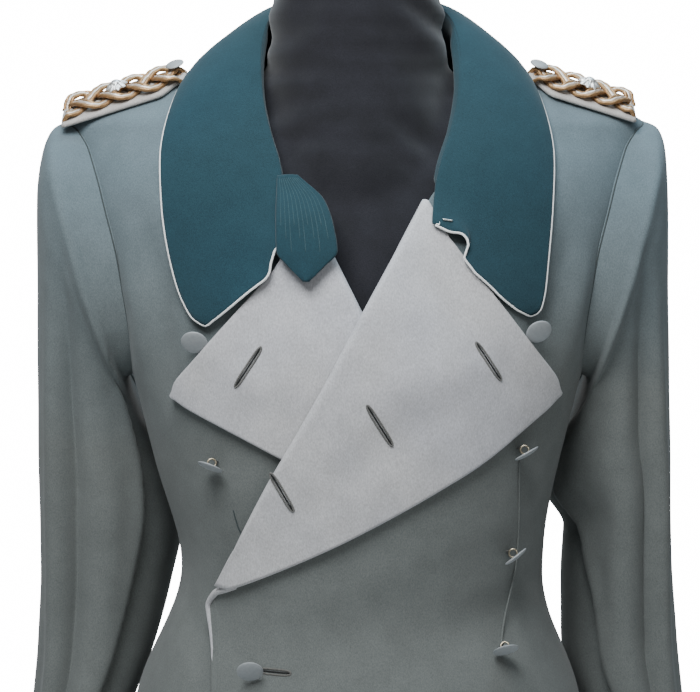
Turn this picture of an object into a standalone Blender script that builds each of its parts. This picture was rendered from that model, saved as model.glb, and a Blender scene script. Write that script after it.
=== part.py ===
"""A double-breasted officer's greatcoat, worn open at the neck on a plain dress form.

Metres, +Z up, the coat's front towards -Y and the wearer's left towards +X.
Every panel is a wall of cloth on one body surface, lifted off it by the layers that lie under it.
"""

import math

import bmesh
import bpy
import numpy as np
from mathutils import Matrix, Vector

# Driving sizes
HEM_Z = 0.340
NECK_Z = 1.474
ARMPIT_Z = 1.205
SHOULDER_Z = 1.421
WOOL = 0.0025
FACING = 0.0016
SEAM = 0.0003
LAYER = 0.0027
BREAK_Z = 1.030
COLLAR_CLOTH = 0.0022
PIPING_RADIUS = 0.0010
BUTTON_RADIUS = 0.0110
BUTTON_THICKNESS = 0.0026
SHANK_RADIUS = 0.0016
SHANK_LENGTH = 0.0052
FLUTES = 9
FLUTE_DEPTH_AT_HEM = 0.016
FLUTE_TOP_Z = 0.900

# The coat's level sections: height, half width, front depth, back depth, squareness
SECTIONS = np.array([
    (0.340, 0.300, 0.235, 0.250, 2.0),
    (0.600, 0.258, 0.198, 0.210, 2.1),
    (0.800, 0.219, 0.163, 0.172, 2.2),
    (0.930, 0.189, 0.143, 0.146, 2.3),
    (1.035, 0.1515, 0.121, 0.106, 2.3),
    (1.130, 0.174, 0.131, 0.113, 2.3),
    (1.220, 0.1955, 0.138, 0.126, 2.3),
    (1.310, 0.224, 0.124, 0.129, 2.2),
    (1.380, 0.243, 0.093, 0.122, 2.1),
    (1.415, 0.246, 0.068, 0.111, 2.0),
    (1.440, 0.184, 0.050, 0.100, 2.0),
    (1.460, 0.126, 0.038, 0.090, 2.0),
    (1.478, 0.086, 0.028, 0.080, 2.0),
])

# The armhole on the body surface: height, front angle, back angle, in degrees from the front
ARMHOLE = np.array([
    (1.205, 90.0, 90.0),
    (1.216, 78.0, 101.0),
    (1.235, 71.0, 108.0),
    (1.270, 65.0, 114.0),
    (1.320, 61.5, 117.0),
    (1.360, 62.0, 116.0),
    (1.395, 66.0, 110.0),
    (1.411, 73.0, 102.0),
    (1.421, 90.0, 90.0),
])

# Each front's inner edge: height, x of the left front, x of the right front towards its own side.
# It is the straight edge, then the roll line, then the neck seam
FRONT_EDGE = np.array([
    (0.340, -0.1200, -0.1200),
    (0.950, -0.1180, -0.1180),
    (1.030, -0.1180, -0.1180),
    (1.358, 0.0600, 0.0480),
    (1.370, 0.0690, 0.0660),
    (1.388, 0.0725, 0.0725),
    (1.4125, 0.0820, 0.0820),
    (1.441, 0.0880, 0.0880),
    (1.474, 0.0870, 0.0870),
])
PANEL_ROWS = (
    0.340, 0.440, 0.540, 0.640, 0.730, 0.810, 0.880, 0.940, 0.990, 1.030, 1.070, 1.120, 1.165,
    1.205, 1.220, 1.245, 1.280, 1.320, 1.358, 1.376, 1.395, 1.411, 1.421, 1.434, 1.448, 1.460, 1.474,
)
FRONT_COLUMNS = 15
BACK_COLUMNS = 10

# A sleeve's rings: outer x of the left and right sleeve, outer z, inner x of the left and right sleeve,
# inner z, half depth, centre y, lean of the inner side to the back
SLEEVE_RINGS = np.array([
    (0.2560, 0.2580, 1.4130, 0.2000, 0.2000, 1.1980, 0.0730, 0.004, 0.000),
    (0.2610, 0.2660, 1.3960, 0.1980, 0.1980, 1.1840, 0.0780, 0.006, 0.006),
    (0.2635, 0.2715, 1.3600, 0.1920, 0.1920, 1.1650, 0.0800, 0.018, 0.018),
    (0.2655, 0.2730, 1.3100, 0.1820, 0.1820, 1.1450, 0.0800, 0.030, 0.026),
    (0.2675, 0.2745, 1.2500, 0.1730, 0.1720, 1.1200, 0.0790, 0.040, 0.030),
    (0.2700, 0.2755, 1.1800, 0.1700, 0.1620, 1.0900, 0.0770, 0.046, 0.030),
    (0.2725, 0.2765, 1.1100, 0.1880, 0.1590, 1.0550, 0.0740, 0.050, 0.026),
    (0.2755, 0.2770, 1.0400, 0.1860, 0.1680, 1.0100, 0.0710, 0.054, 0.022),
    (0.2795, 0.2785, 0.9700, 0.1860, 0.1820, 0.9550, 0.0680, 0.056, 0.018),
    (0.2870, 0.2850, 0.9000, 0.2055, 0.2045, 0.8930, 0.0650, 0.050, 0.010),
    (0.2980, 0.2980, 0.8200, 0.2230, 0.2230, 0.8200, 0.0630, 0.042, 0.004),
])
SLEEVE_COLUMNS = 11
SLEEVE_SQUARENESS = 2.3
SLEEVE_GAP = 0.0012
# The sleeve's seams in degrees round it, at the armhole and at the cuff
FRONT_SEAM_DEG = (165.0, 114.0)
BACK_SEAM_DEG = (205.0, 244.0)

# The lapel in front view, x and z of the left one: the roll line's ends, the tips and the gorge
LAPEL_BREAK = (-0.1180, 1.0300)
LAPEL_ROLL_TOP = {"left": (0.0600, 1.3580), "right": (0.0480, 1.3580)}
LAPEL_TIP = {"left": (0.1700, 1.1965), "right": (0.1550, 1.1965)}
LAPEL_BOW = {"left": 0.008, "right": -0.012}
LAPEL_GORGE = {"left": (0.0705, 1.3290), "right": (0.0570, 1.3110)}
LAPEL_TIP_AT = 0.60
LAPEL_ROWS = 13
LAPEL_COLUMNS = 12
LAPEL_TIP_ROUND = 0.006
ROLL_STEPS = 5
ROLL_END_DEG = -45.0
ROLL_AT_BREAK = 0.45

# Half the collar, front end to centre back: roll line x, y, z, then the fall's edge x, y, z on the body
COLLAR = np.array([
    (0.0620, -0.1245, 1.3400, 0.1375, -0.1085, 1.2605),
    (0.0612, -0.1130, 1.3570, 0.1440, -0.1060, 1.2640),
    (0.0610, -0.1060, 1.3680, 0.1480, -0.1025, 1.2780),
    (0.0640, -0.0960, 1.3870, 0.1510, -0.0975, 1.3050),
    (0.0720, -0.0800, 1.4120, 0.1550, -0.0875, 1.3480),
    (0.0790, -0.0580, 1.4430, 0.1570, -0.0710, 1.3880),
    (0.0810, -0.0320, 1.4750, 0.1500, -0.0460, 1.4290),
    (0.0765, -0.0020, 1.5030, 0.1350, -0.0020, 1.4580),
    (0.0660, 0.0330, 1.5170, 0.1160, 0.0480, 1.4590),
    (0.0480, 0.0610, 1.5240, 0.0850, 0.0840, 1.4490),
    (0.0250, 0.0760, 1.5270, 0.0440, 0.1010, 1.4360),
    (0.0000, 0.0810, 1.5280, 0.0000, 0.1060, 1.4290),
])
COLLAR_STATIONS = 17
COLLAR_RIDGE_STATION = 10
COLLAR_COLUMNS = 7
COLLAR_EDGE_LIFT = 0.0065
COLLAR_BULGE = 0.0130
RIGHT_TIP_SHIFT = (-0.018, -0.010, -0.007)
LEFT_ROLL_SHIFT = 0.0060
# How far the fall's front edge bows ahead of its run, from the roll line (0) to the tip (1)
FALL_FRONT = {
    "left": np.array([
        (0.00, 0.0000), (0.14, 0.0000), (0.25, 0.0010), (0.36, 0.0080), (0.50, 0.0130), (0.70, 0.0120),
        (0.88, 0.0075), (1.00, 0.0000),
    ]),
    "right": np.array([
        (0.00, 0.0030), (0.15, 0.0080), (0.30, 0.0170), (0.45, 0.0210), (0.60, 0.0180), (0.75, 0.0130),
        (0.88, 0.0072), (1.00, 0.0000),
    ]),
}
SLIDE_X = -0.72
SLIDE_Z = -0.69
FADE_AT_ROLL = 2.2
FADE_TO_TIP = -1.2
STAND_COLUMNS = 4
STAND_DROP = 0.0040
STAND_FIRST_STATION = 3
STAND_FIRST_Z = 1.376
STAND_SETBACK = 0.0045

# The throat tab in front view: height, inner x, outer x
TAB_ROWS = np.array([
    (1.371, -0.0640, -0.0480),
    (1.351, -0.0640, -0.0270),
    (1.331, -0.0635, -0.0195),
    (1.313, -0.0625, -0.0165),
    (1.302, -0.0540, -0.0260),
    (1.290, -0.0420, -0.0380),
])
TAB_LIFT = 0.0175
TAB_TUCK = 0.0066
TAB_COLUMNS = 5

# Buttons: name, x, z and the way the face looks. The row on the left front, then the one on the right
BUTTONS = (
    ("button_left_1", 0.1442, 1.2500, (0.273, -0.817, -0.507)),
    ("button_left_2", 0.1303, 1.1520, (0.494, -0.170, -0.853)),
    ("button_left_3", 0.1163, 1.0666, (0.611, -0.162, -0.774)),
    ("button_left_4", 0.1135, 0.9802, (0.196, -0.510, -0.837)),
    ("button_left_5", 0.1120, 0.8850, (0.250, -0.600, -0.760)),
    ("button_left_6", 0.1120, 0.7900, (0.300, -0.550, -0.780)),
    ("button_right_1", -0.1290, 1.2420, (-0.106, -0.840, -0.532)),
    ("button_right_2", -0.1150, 1.1409, (-0.349, -0.314, -0.883)),
    ("button_right_4", -0.0831, 0.9675, (0.000, -0.824, -0.567)),
    ("button_right_5", -0.0850, 0.8740, (0.030, -0.830, -0.550)),
    ("button_right_6", -0.0850, 0.7820, (-0.030, -0.840, -0.540)),
)
BUTTON_SIDES = 10
BUTTON_CLEAR = 0.0016

# Each shoulder board's corners, both given on the left: at the armhole, then at the collar, front before back
BOARD_CORNERS = {
    "left": np.array([
        (0.2340, -0.0316, 1.4199),
        (0.2336, 0.0120, 1.4390),
        (0.1530, -0.0290, 1.4450),
        (0.1500, 0.0120, 1.4650),
    ]),
    "right": np.array([
        (0.2480, -0.0320, 1.4155),
        (0.2480, 0.0120, 1.4345),
        (0.1530, -0.0290, 1.4450),
        (0.1500, 0.0120, 1.4650),
    ]),
}
BOARD_ARCH = 0.0020
BOARD_THICKNESS = 0.0042
BRAID_WIDTH = 0.0074
BRAID_HEIGHT = 0.0028
BRAID_WAVE = 0.0025
BRAID_SWING = 0.0158
BRAID_PERIODS = 1.40
BRAID_STEPS = 19
PIP_RADIUS = 0.0100
PIP_HEIGHT = 0.0045
PIP_RAYS = 8
BOARD_BUTTON_RADIUS = 0.0080
BOARD_BUTTON_AT = 1.00
BOARD_END = 1.03

# Dress form torso: height, half width, front depth, back depth, squareness
FORM_TORSO = np.array([
    (0.860, 0.128, 0.090, 0.090, 2.2),
    (0.950, 0.152, 0.112, 0.110, 2.2),
    (1.050, 0.140, 0.108, 0.094, 2.2),
    (1.130, 0.157, 0.118, 0.101, 2.2),
    (1.220, 0.182, 0.125, 0.114, 2.2),
    (1.310, 0.208, 0.110, 0.117, 2.1),
    (1.370, 0.221, 0.086, 0.109, 2.0),
    (1.400, 0.212, 0.064, 0.100, 2.0),
    (1.425, 0.176, 0.048, 0.090, 2.0),
    (1.445, 0.130, 0.038, 0.080, 2.0),
    (1.465, 0.070, 0.030, 0.066, 2.0),
])
# Dress form neck: height, half width, half depth, centre y
FORM_NECK = np.array([
    (1.290, 0.090, 0.080, -0.016),
    (1.370, 0.088, 0.080, -0.014),
    (1.420, 0.0785, 0.073, -0.010),
    (1.470, 0.0752, 0.066, -0.008),
    (1.510, 0.0732, 0.066, -0.006),
    (1.535, 0.0708, 0.066, -0.004),
    (1.552, 0.0692, 0.065, -0.004),
    (1.562, 0.0620, 0.058, -0.004),
    (1.566, 0.0450, 0.042, -0.004),
])
FORM_SIDES = 24
FORM_RINGS = 17
POLE_RADIUS = 0.0160
BASE_RADIUS = 0.2000
BASE_HEIGHT = 0.0240

# Colours are linear, with roughness and metallic value
MATERIALS = {
    "wool": ((0.165, 0.205, 0.205, 1), 0.95, 0.0),
    "collar_cloth": ((0.020, 0.065, 0.080, 1), 0.95, 0.0),
    "facing_cloth": ((0.480, 0.460, 0.450, 1), 0.95, 0.0),
    "piping": ((0.820, 0.800, 0.740, 1), 0.80, 0.0),
    "button": ((0.300, 0.330, 0.340, 1), 0.55, 0.2),
    "gold_braid": ((0.450, 0.290, 0.140, 1), 0.40, 0.7),
    "board_cloth": ((0.520, 0.480, 0.420, 1), 0.90, 0.0),
    "silver": ((0.750, 0.750, 0.740, 1), 0.35, 0.9),
    "form_cloth": ((0.014, 0.014, 0.018, 1), 0.95, 0.0),
    "form_metal": ((0.030, 0.030, 0.032, 1), 0.45, 0.8),
}


def clear_scene():
    for old in list(bpy.data.objects):
        bpy.data.objects.remove(old)


def material(name):
    made = bpy.data.materials.get(name)
    if made is None:
        colour, roughness, metallic = MATERIALS[name]
        made = bpy.data.materials.new(name)
        made.use_nodes = True
        shader = made.node_tree.nodes["Principled BSDF"]
        shader.inputs["Base Color"].default_value = colour
        shader.inputs["Roughness"].default_value = roughness
        shader.inputs["Metallic"].default_value = metallic
        made.diffuse_color = colour
    return made


def add_object(name, mesh, material_name):
    mesh.materials.append(material(material_name))
    mesh.shade_smooth()
    mesh.set_sharp_from_angle(angle=math.radians(40))
    made = bpy.data.objects.new(name, mesh)
    bpy.context.scene.collection.objects.link(made)
    return made


# Interpolation

def eased(table, at):
    """A table's columns at the given first-column values, with no overshoot between rows."""
    at = np.clip(np.asarray(at, float), table[0, 0], table[-1, 0])
    step = np.diff(table, axis=0)
    slope = step / step[:, :1]
    product = slope[:-1] * slope[1:]
    total = np.where(product > 0, slope[:-1] + slope[1:], 1.0)
    tangent = np.vstack([slope[:1], np.where(product > 0, 2 * product / total, 0.0), slope[-1:]])
    row = np.clip(np.searchsorted(table[:, 0], at) - 1, 0, len(table) - 2)
    width = step[row, 0][..., None]
    t = (at - table[row, 0])[..., None] / width
    start = (1 + 2 * t) * (1 - t) ** 2 * table[row] + t * (1 - t) ** 2 * width * tangent[row]
    end = t * t * (3 - 2 * t) * table[row + 1] + t * t * (t - 1) * width * tangent[row + 1]
    return (start + end)[..., 1:]


def smooth(value, low, high):
    t = np.clip((value - low) / (high - low), 0, 1)
    return t * t * (3 - 2 * t)


def along(points, count):
    """Points read evenly from a smooth curve through the given rows."""
    rows = np.column_stack([np.arange(len(points)), points])
    return eased(rows, np.linspace(0, len(points) - 1, count))


# The body surface

def flute(angle, z):
    """The skirt's hanging folds: deepest at the hem and the back, none on the buttoned overlap."""
    depth = FLUTE_DEPTH_AT_HEM * smooth(-z, -FLUTE_TOP_Z, -HEM_Z)
    share = 0.15 + 0.85 * smooth(np.abs(angle), math.radians(45), math.radians(85))
    return depth * share * np.cos(FLUTES * angle + 0.5 * np.sin(2 * angle))


def bare_point(angle, z):
    half, front, back, square = np.moveaxis(eased(SECTIONS, z), -1, 0)
    sine, cosine = np.sin(angle), np.cos(angle)
    x = half * np.sign(sine) * np.abs(sine) ** (2 / square)
    y = np.where(cosine > 0, -front, back) * np.abs(cosine) ** (2 / square)
    out = flute(angle, z)
    return np.stack([x + out * sine, y - out * cosine, z], axis=-1)


def body_point(angle, z, lift=0.0):
    """A point on the body surface at an angle from the front, moved out by lift along the normal."""
    angle, z, lift = np.broadcast_arrays(np.asarray(angle, float), z, lift)
    small = 1e-3
    across = bare_point(angle + small, z) - bare_point(angle - small, z)
    high = np.minimum(z + small, SECTIONS[-1, 0])
    up = bare_point(angle, high) - bare_point(angle, high - 2 * small)
    normal = np.cross(across, up)
    normal /= np.linalg.norm(normal, axis=-1, keepdims=True)
    return bare_point(angle, z) + lift[..., None] * normal


def angle_at(x, z):
    """The angle on the front half at which the level section has this x."""
    half, _, _, square = np.moveaxis(eased(SECTIONS, z), -1, 0)
    share = np.clip(np.abs(x) / half, 0, 1) ** (square / 2)
    return np.sign(x) * np.arcsin(share)


def chest_point(x, z, lift=0.0):
    return body_point(angle_at(x, z), z, lift)


def front_edge(z, side):
    return np.interp(z, FRONT_EDGE[:, 0], FRONT_EDGE[:, 1 if side == "left" else 2])


def left_front_lift(x, z):
    """How far the left front stands off the body surface to clear the right front and its lapel."""
    over_front = WOOL + LAYER
    over_lapel = over_front + WOOL + FACING + 2 * SEAM + LAYER
    height = over_front + (over_lapel - over_front) * smooth(z, BREAK_Z - 0.05, BREAK_Z + 0.02)
    past_edge = x + front_edge(z, "right")
    return height * (1 - smooth(past_edge, 0.010, 0.110))


def no_lift(x, z):
    return np.zeros_like(x)


# Solids

def grid_mesh(name, grid):
    rows, columns = grid.shape[:2]
    mesh = bpy.data.meshes.new(name)
    faces = [
        (r * columns + c, r * columns + c + 1, (r + 1) * columns + c + 1, (r + 1) * columns + c)
        for r in range(rows - 1)
        for c in range(columns - 1)
    ]
    mesh.from_pydata(grid.reshape(-1, 3).tolist(), [], faces)
    return mesh


def cloth(name, grid, thickness, material_name):
    """A wall of cloth of even thickness about a grid of points."""
    made = add_object(name, grid_mesh(name, grid), material_name)
    wall = made.modifiers.new("wall", "SOLIDIFY")
    wall.thickness = thickness
    wall.offset = 0
    return made


def ring_solid(name, rings, material_name):
    """A closed solid through rings of equal point counts, capped at both ends."""
    rings = [np.asarray(ring) for ring in rings]
    count = len(rings[0])
    shape = bmesh.new()
    loops = [[shape.verts.new(p) for p in ring] for ring in rings]
    for low, high in zip(loops, loops[1:]):
        for k in range(count):
            shape.faces.new((low[k], low[(k + 1) % count], high[(k + 1) % count], high[k]))
    shape.faces.new(loops[0][::-1])
    shape.faces.new(loops[-1])
    bmesh.ops.recalc_face_normals(shape, faces=shape.faces)
    mesh = bpy.data.meshes.new(name)
    shape.to_mesh(mesh)
    shape.free()
    return add_object(name, mesh, material_name)


def mirrored(points):
    return points * np.array([-1.0, 1.0, 1.0])


def tube(name, points, radius, material_name):
    curve = bpy.data.curves.new(name, "CURVE")
    curve.dimensions = "3D"
    curve.bevel_depth = radius
    curve.bevel_resolution = 1
    curve.use_fill_caps = True
    line = curve.splines.new("POLY")
    line.points.add(len(points) - 1)
    for point, place in zip(line.points, points):
        point.co = (*place, 1)
    curve.materials.append(material(material_name))
    made = bpy.data.objects.new(name, curve)
    bpy.context.scene.collection.objects.link(made)
    return made


# The dress form

def level_ring(half, front, back, square, z, centre=0.0):
    turn = np.linspace(0, 2 * math.pi, FORM_SIDES, endpoint=False)
    sine, cosine = np.sin(turn), np.cos(turn)
    x = half * np.sign(sine) * np.abs(sine) ** (2 / square)
    y = np.where(cosine > 0, -front, back) * np.abs(cosine) ** (2 / square) + centre
    return np.column_stack([x, y, np.full(FORM_SIDES, z)])


def dress_form():
    heights = np.linspace(FORM_TORSO[0, 0], FORM_TORSO[-1, 0], FORM_RINGS)
    torso_rings = [level_ring(*row, z) for row, z in zip(eased(FORM_TORSO, heights), heights)]
    torso = ring_solid("form_torso", torso_rings, "form_cloth")
    neck_rings = [level_ring(half, deep, deep, 2.0, z, y) for z, half, deep, y in FORM_NECK]
    neck = ring_solid("form_neck_joined", neck_rings, "form_cloth")
    neck.hide_render = True
    neck.display_type = "WIRE"
    join = torso.modifiers.new("neck", "BOOLEAN")
    join.operation = "UNION"
    join.object = neck
    pole_top = FORM_TORSO[0, 0] - SEAM
    pole_bottom = BASE_HEIGHT + SEAM
    post("form_pole", POLE_RADIUS, pole_bottom, pole_top, 16)
    post("form_base", BASE_RADIUS, 0.0, BASE_HEIGHT, 48)


def post(name, radius, low, high, sides):
    shape = bmesh.new()
    bmesh.ops.create_cone(
        shape, cap_ends=True, segments=sides, radius1=radius, radius2=radius, depth=high - low,
        matrix=Matrix.Translation((0, 0, (low + high) / 2)),
    )
    mesh = bpy.data.meshes.new(name)
    shape.to_mesh(mesh)
    shape.free()
    return add_object(name, mesh, "form_metal")


# Coat body

def seam_turn(z, column):
    """Half a seam's gap, as an angle where the section's half width or depth is the radius."""
    return SEAM / 2 / (eased(SECTIONS, z)[..., column] * 0.7)


def panel_grid(start_angle, end_angle, z_rows, lift_of, columns):
    share = np.linspace(0, 1, columns)
    angle = start_angle[:, None] + (end_angle - start_angle)[:, None] * share
    z = np.repeat(z_rows[:, None], columns, axis=1)
    x = bare_point(angle, z)[..., 0]
    return body_point(angle, z, lift_of(x, z))


def armhole_angle(z, column, side_angle):
    """The panel's outer angle: the side seam, then the armhole, then the shoulder seam."""
    on_armhole = (z > ARMPIT_Z) & (z < SHOULDER_Z)
    return np.where(on_armhole, np.radians(eased(ARMHOLE, z)[:, column]), side_angle)


def coat_body():
    z = np.array(PANEL_ROWS)
    left_edge = angle_at(front_edge(z, "left"), z)
    right_edge = angle_at(front_edge(z, "right"), z)
    outer = armhole_angle(z, 0, math.pi / 2) - seam_turn(z, 1)
    cloth("front_left", panel_grid(left_edge, outer, z, left_front_lift, FRONT_COLUMNS), WOOL, "wool")
    cloth("front_right", mirrored(panel_grid(right_edge, outer, z, no_lift, FRONT_COLUMNS)), WOOL, "wool")
    back_outer = armhole_angle(z, 1, math.pi / 2) + seam_turn(z, 2)
    back = panel_grid(back_outer, math.pi - 2 * seam_turn(z, 0), z, no_lift, BACK_COLUMNS)
    cloth("back_left", back, WOOL, "wool")
    cloth("back_right", mirrored(back), WOOL, "wool")


# Sleeves

def armhole_ring(turn):
    """The armhole's edge as the sleeve's first ring: turn 0 at the shoulder, a quarter turn at the front."""
    height = (1 + np.cos(turn)) / 2
    z = ARMHOLE[0, 0] + height * (ARMHOLE[-1, 0] - ARMHOLE[0, 0])
    angles = eased(ARMHOLE, z)
    angle = np.radians(np.where(np.sin(turn) >= 0, angles[:, 0], angles[:, 1]))
    return body_point(angle, z, 0.0) + np.array([WOOL + 2 * SEAM, 0, SEAM])


def sleeve_ring(row, turn, side):
    outer_x, inner_x = (row[0], row[3]) if side == "left" else (row[1], row[4])
    outer_z = row[2]
    inner_z, depth, centre_y, lean = row[5:]
    power = 2 / SLEEVE_SQUARENESS
    along_width = np.sign(np.cos(turn)) * np.abs(np.cos(turn)) ** power
    along_depth = np.sign(np.sin(turn)) * np.abs(np.sin(turn)) ** power
    x = (outer_x + inner_x) / 2 + (outer_x - inner_x) / 2 * along_width
    y = centre_y - depth * along_depth - lean * along_width
    z = (outer_z + inner_z) / 2 + (outer_z - inner_z) / 2 * along_width
    return np.column_stack([x, y, z])


def sleeve_grid(start_deg, end_deg, side):
    """Rings from the armhole to the cuff, each between its own two seam angles."""
    rings = []
    for k in range(len(SLEEVE_RINGS) + 1):
        share = k / len(SLEEVE_RINGS)
        gap = math.degrees(SLEEVE_GAP / SLEEVE_RINGS[-1, 6]) * (1 + 4 * math.exp(-k))
        start = start_deg[0] + (start_deg[1] - start_deg[0]) * share + gap
        end = end_deg[0] + (end_deg[1] - end_deg[0]) * share - gap
        turn = np.radians(np.linspace(start, end, SLEEVE_COLUMNS))
        rings.append(sleeve_ring(SLEEVE_RINGS[k - 1], turn, side) if k else armhole_ring(turn))
    return np.array(rings)


def sleeves():
    front, back = np.array(FRONT_SEAM_DEG), np.array(BACK_SEAM_DEG)
    for side, turned in (("left", np.array), ("right", mirrored)):
        cloth(f"sleeve_{side}_upper", turned(sleeve_grid(back - 360, front, side)), WOOL, "wool")
        cloth(f"sleeve_{side}_under", turned(sleeve_grid(front, back, side)), WOOL, "wool")


# Lapels

def lapel_outline(share, side):
    """The lapel's outer edge in front view, from the break up to the tip and back to the gorge."""
    start, tip, gorge = (np.array(p) for p in (LAPEL_BREAK, LAPEL_TIP[side], LAPEL_GORGE[side]))
    low = np.clip(share / LAPEL_TIP_AT, 0, 1)[:, None]
    high = np.clip((share - LAPEL_TIP_AT) / (1 - LAPEL_TIP_AT), 0, 1)[:, None]
    edge = start + (tip - start) * low + (gorge - tip) * high
    edge -= np.array([0, LAPEL_BOW[side]]) * np.sin(math.pi * low)
    toward = (start + gorge) / 2 - tip
    near = np.exp(-((share - LAPEL_TIP_AT) / 0.03) ** 2)[:, None]
    return edge + toward / np.linalg.norm(toward) * LAPEL_TIP_ROUND * near


def lapel_plan(side):
    """x and z of the lapel's grid: rows from the break to the gorge, columns from the roll line out."""
    share = np.linspace(0.03, 0.985, LAPEL_ROWS)
    low, top = np.array(LAPEL_BREAK), np.array(LAPEL_ROLL_TOP[side])
    start = low + (top - low) * share[:, None]
    end = lapel_outline(share, side)
    across = np.linspace(0, 1, LAPEL_COLUMNS)[None, :, None]
    return start[:, None] + (end - start)[:, None] * across


def lapels():
    cloth_lift = WOOL + LAYER
    facing_lift = cloth_lift + (WOOL + FACING) / 2 + 2 * SEAM
    roll_centre = cloth_lift / 2
    roll_radius = facing_lift - roll_centre
    angles = np.radians(np.linspace(ROLL_END_DEG, 90, ROLL_STEPS, endpoint=False))
    rise = np.concatenate([roll_centre + roll_radius * np.sin(angles), np.full(LAPEL_COLUMNS, facing_lift)])
    for side, turned, lift_of in (("left", np.array, left_front_lift), ("right", mirrored, no_lift)):
        along_roll = np.array(LAPEL_ROLL_TOP[side]) - np.array(LAPEL_BREAK)
        out = np.array([-along_roll[1], along_roll[0]]) / np.linalg.norm(along_roll)
        plan = lapel_plan(side)
        plan = np.concatenate([plan[:, :1] - out * SEAM, plan[:, 1:]], axis=1)
        fullness = ROLL_AT_BREAK + (1 - ROLL_AT_BREAK) * smooth(np.linspace(0, 1, LAPEL_ROWS), 0, 0.4)
        roll_plan = plan[:, :1] + out * (fullness[:, None] * roll_radius * np.cos(angles))[..., None]
        face_plan = np.concatenate([roll_plan, plan], axis=1)
        x, z = plan[..., 0], plan[..., 1]
        cloth(f"lapel_{side}", turned(chest_point(x, z, lift_of(x, z) + cloth_lift)), WOOL, "wool")
        x, z = face_plan[..., 0], face_plan[..., 1]
        face = chest_point(x, z, lift_of(x, z) + rise)
        cloth(f"lapel_{side}_facing", turned(face), FACING, "facing_cloth")


# Collar

def collar_half(side):
    """Roll line, fall edge and outward direction for half the collar, front end to centre back."""
    rows = along(COLLAR, COLLAR_STATIONS)
    roll, edge = rows[:, :3], rows[:, 3:]
    station = np.arange(COLLAR_STATIONS)[:, None]
    if side == "left":
        bow = np.sin(math.pi * station / (COLLAR_STATIONS - 1))
        roll = roll + np.array([LEFT_ROLL_SHIFT, 0, 0]) * bow
    else:
        edge = edge + np.array(RIGHT_TIP_SHIFT) * (1 - smooth(station, 0, 6))
    out = edge * np.array([1.0, 1.0, 0.0]) + np.array([0.0, 0.0, 0.09])
    out /= np.linalg.norm(out, axis=1, keepdims=True)
    return roll, edge + out * COLLAR_EDGE_LIFT, out


def whole_collar(left, right):
    """Left half from its front end to the centre back, then the right half back to its front end."""
    return np.concatenate([left, mirrored(right[-2::-1])])


def fall_half(side):
    roll, edge, out = collar_half(side)
    reach = np.linalg.norm(edge - roll, axis=1, keepdims=True)
    level = (edge - roll) * np.array([1.0, 1.0, 0.0])
    level /= np.linalg.norm(level, axis=1, keepdims=True)
    station = np.arange(COLLAR_STATIONS)[:, None]
    behind = smooth(station, 4, 11)
    over = level * 0.22 + np.array([0, 0, 1.0]) * 0.05
    ahead = roll + (edge - roll) * 0.30 + out * COLLAR_BULGE
    first = ahead * (1 - behind) + (roll + over * reach) * behind
    second = edge + (roll - edge) * 0.35 + out * COLLAR_BULGE
    t = np.linspace(0, 1, COLLAR_COLUMNS)[None, :, None]
    weights = ((1 - t) ** 3, 3 * t * (1 - t) ** 2, 3 * t * t * (1 - t), t ** 3)
    grid = sum(w * p[:, None] for w, p in zip(weights, (roll, first, second, edge)))
    fade = np.exp(-(station / (FADE_AT_ROLL + FADE_TO_TIP * t[..., 0])) ** 2)
    return slid(grid, fade * eased(FALL_FRONT[side], t[0, :, 0])[:, 0])


def slid(grid, distance):
    """Points of the left half moved over the chest, down and towards the middle."""
    x, z = grid[..., 0], grid[..., 2]
    moved = chest_point(x + SLIDE_X * distance, z + SLIDE_Z * distance)
    return grid + moved - chest_point(x, z)


def stand_half(side):
    """The stand inside the fall, from just within the neck seam up to just under the roll line."""
    roll = collar_half(side)[0][STAND_FIRST_STATION:]
    station = np.arange(STAND_FIRST_STATION, COLLAR_STATIONS)
    ahead = np.clip((station - STAND_FIRST_STATION) / (COLLAR_RIDGE_STATION - STAND_FIRST_STATION), 0, 1)
    z = STAND_FIRST_Z + (NECK_Z - 0.002 - STAND_FIRST_Z) * ahead
    on_front = chest_point(front_edge(z, side) - STAND_SETBACK, z, 0.001)
    past = np.clip((station - COLLAR_RIDGE_STATION) / (COLLAR_STATIONS - 1 - COLLAR_RIDGE_STATION), 0, 1)
    on_back = body_point(math.pi / 2 * (1 + past), np.full(len(station), NECK_Z)) * np.array([0.93, 0.93, 1])
    seam = np.where((station <= COLLAR_RIDGE_STATION)[:, None], on_front, on_back)
    inward = roll * np.array([-1.0, -1.0, 0.0])
    inward /= np.linalg.norm(inward, axis=1, keepdims=True)
    top = roll + inward * 0.0008 - np.array([0, 0, STAND_DROP])
    t = np.linspace(0, 1, STAND_COLUMNS)[None, :, None]
    return seam[:, None] * (1 - t) + top[:, None] * t


def piping_path(fall):
    """The fall's free edge, moved out by the piping's radius: front edge, outer edge, front edge."""
    edge = np.concatenate([fall[0, 1:], fall[1:-1, -1], fall[-1, :0:-1]])
    normal = np.cross(np.gradient(fall, axis=0), np.gradient(fall, axis=1))
    normal = np.concatenate([normal[0, 1:], normal[1:-1, -1], normal[-1, :0:-1]])
    middle = COLLAR_COLUMNS // 2
    ends = [np.repeat(fall[k:k + 1, middle], COLLAR_COLUMNS - 1, axis=0) for k in (3, len(fall) - 4)]
    within = np.concatenate([ends[0], fall[1:-1, middle], ends[1]])
    off = np.cross(np.gradient(edge, axis=0), normal)
    off /= np.linalg.norm(off, axis=1, keepdims=True)
    off *= np.sign(np.sum(off * (edge - within), axis=1, keepdims=True))
    return edge + off * (PIPING_RADIUS + 3 * SEAM)


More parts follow.
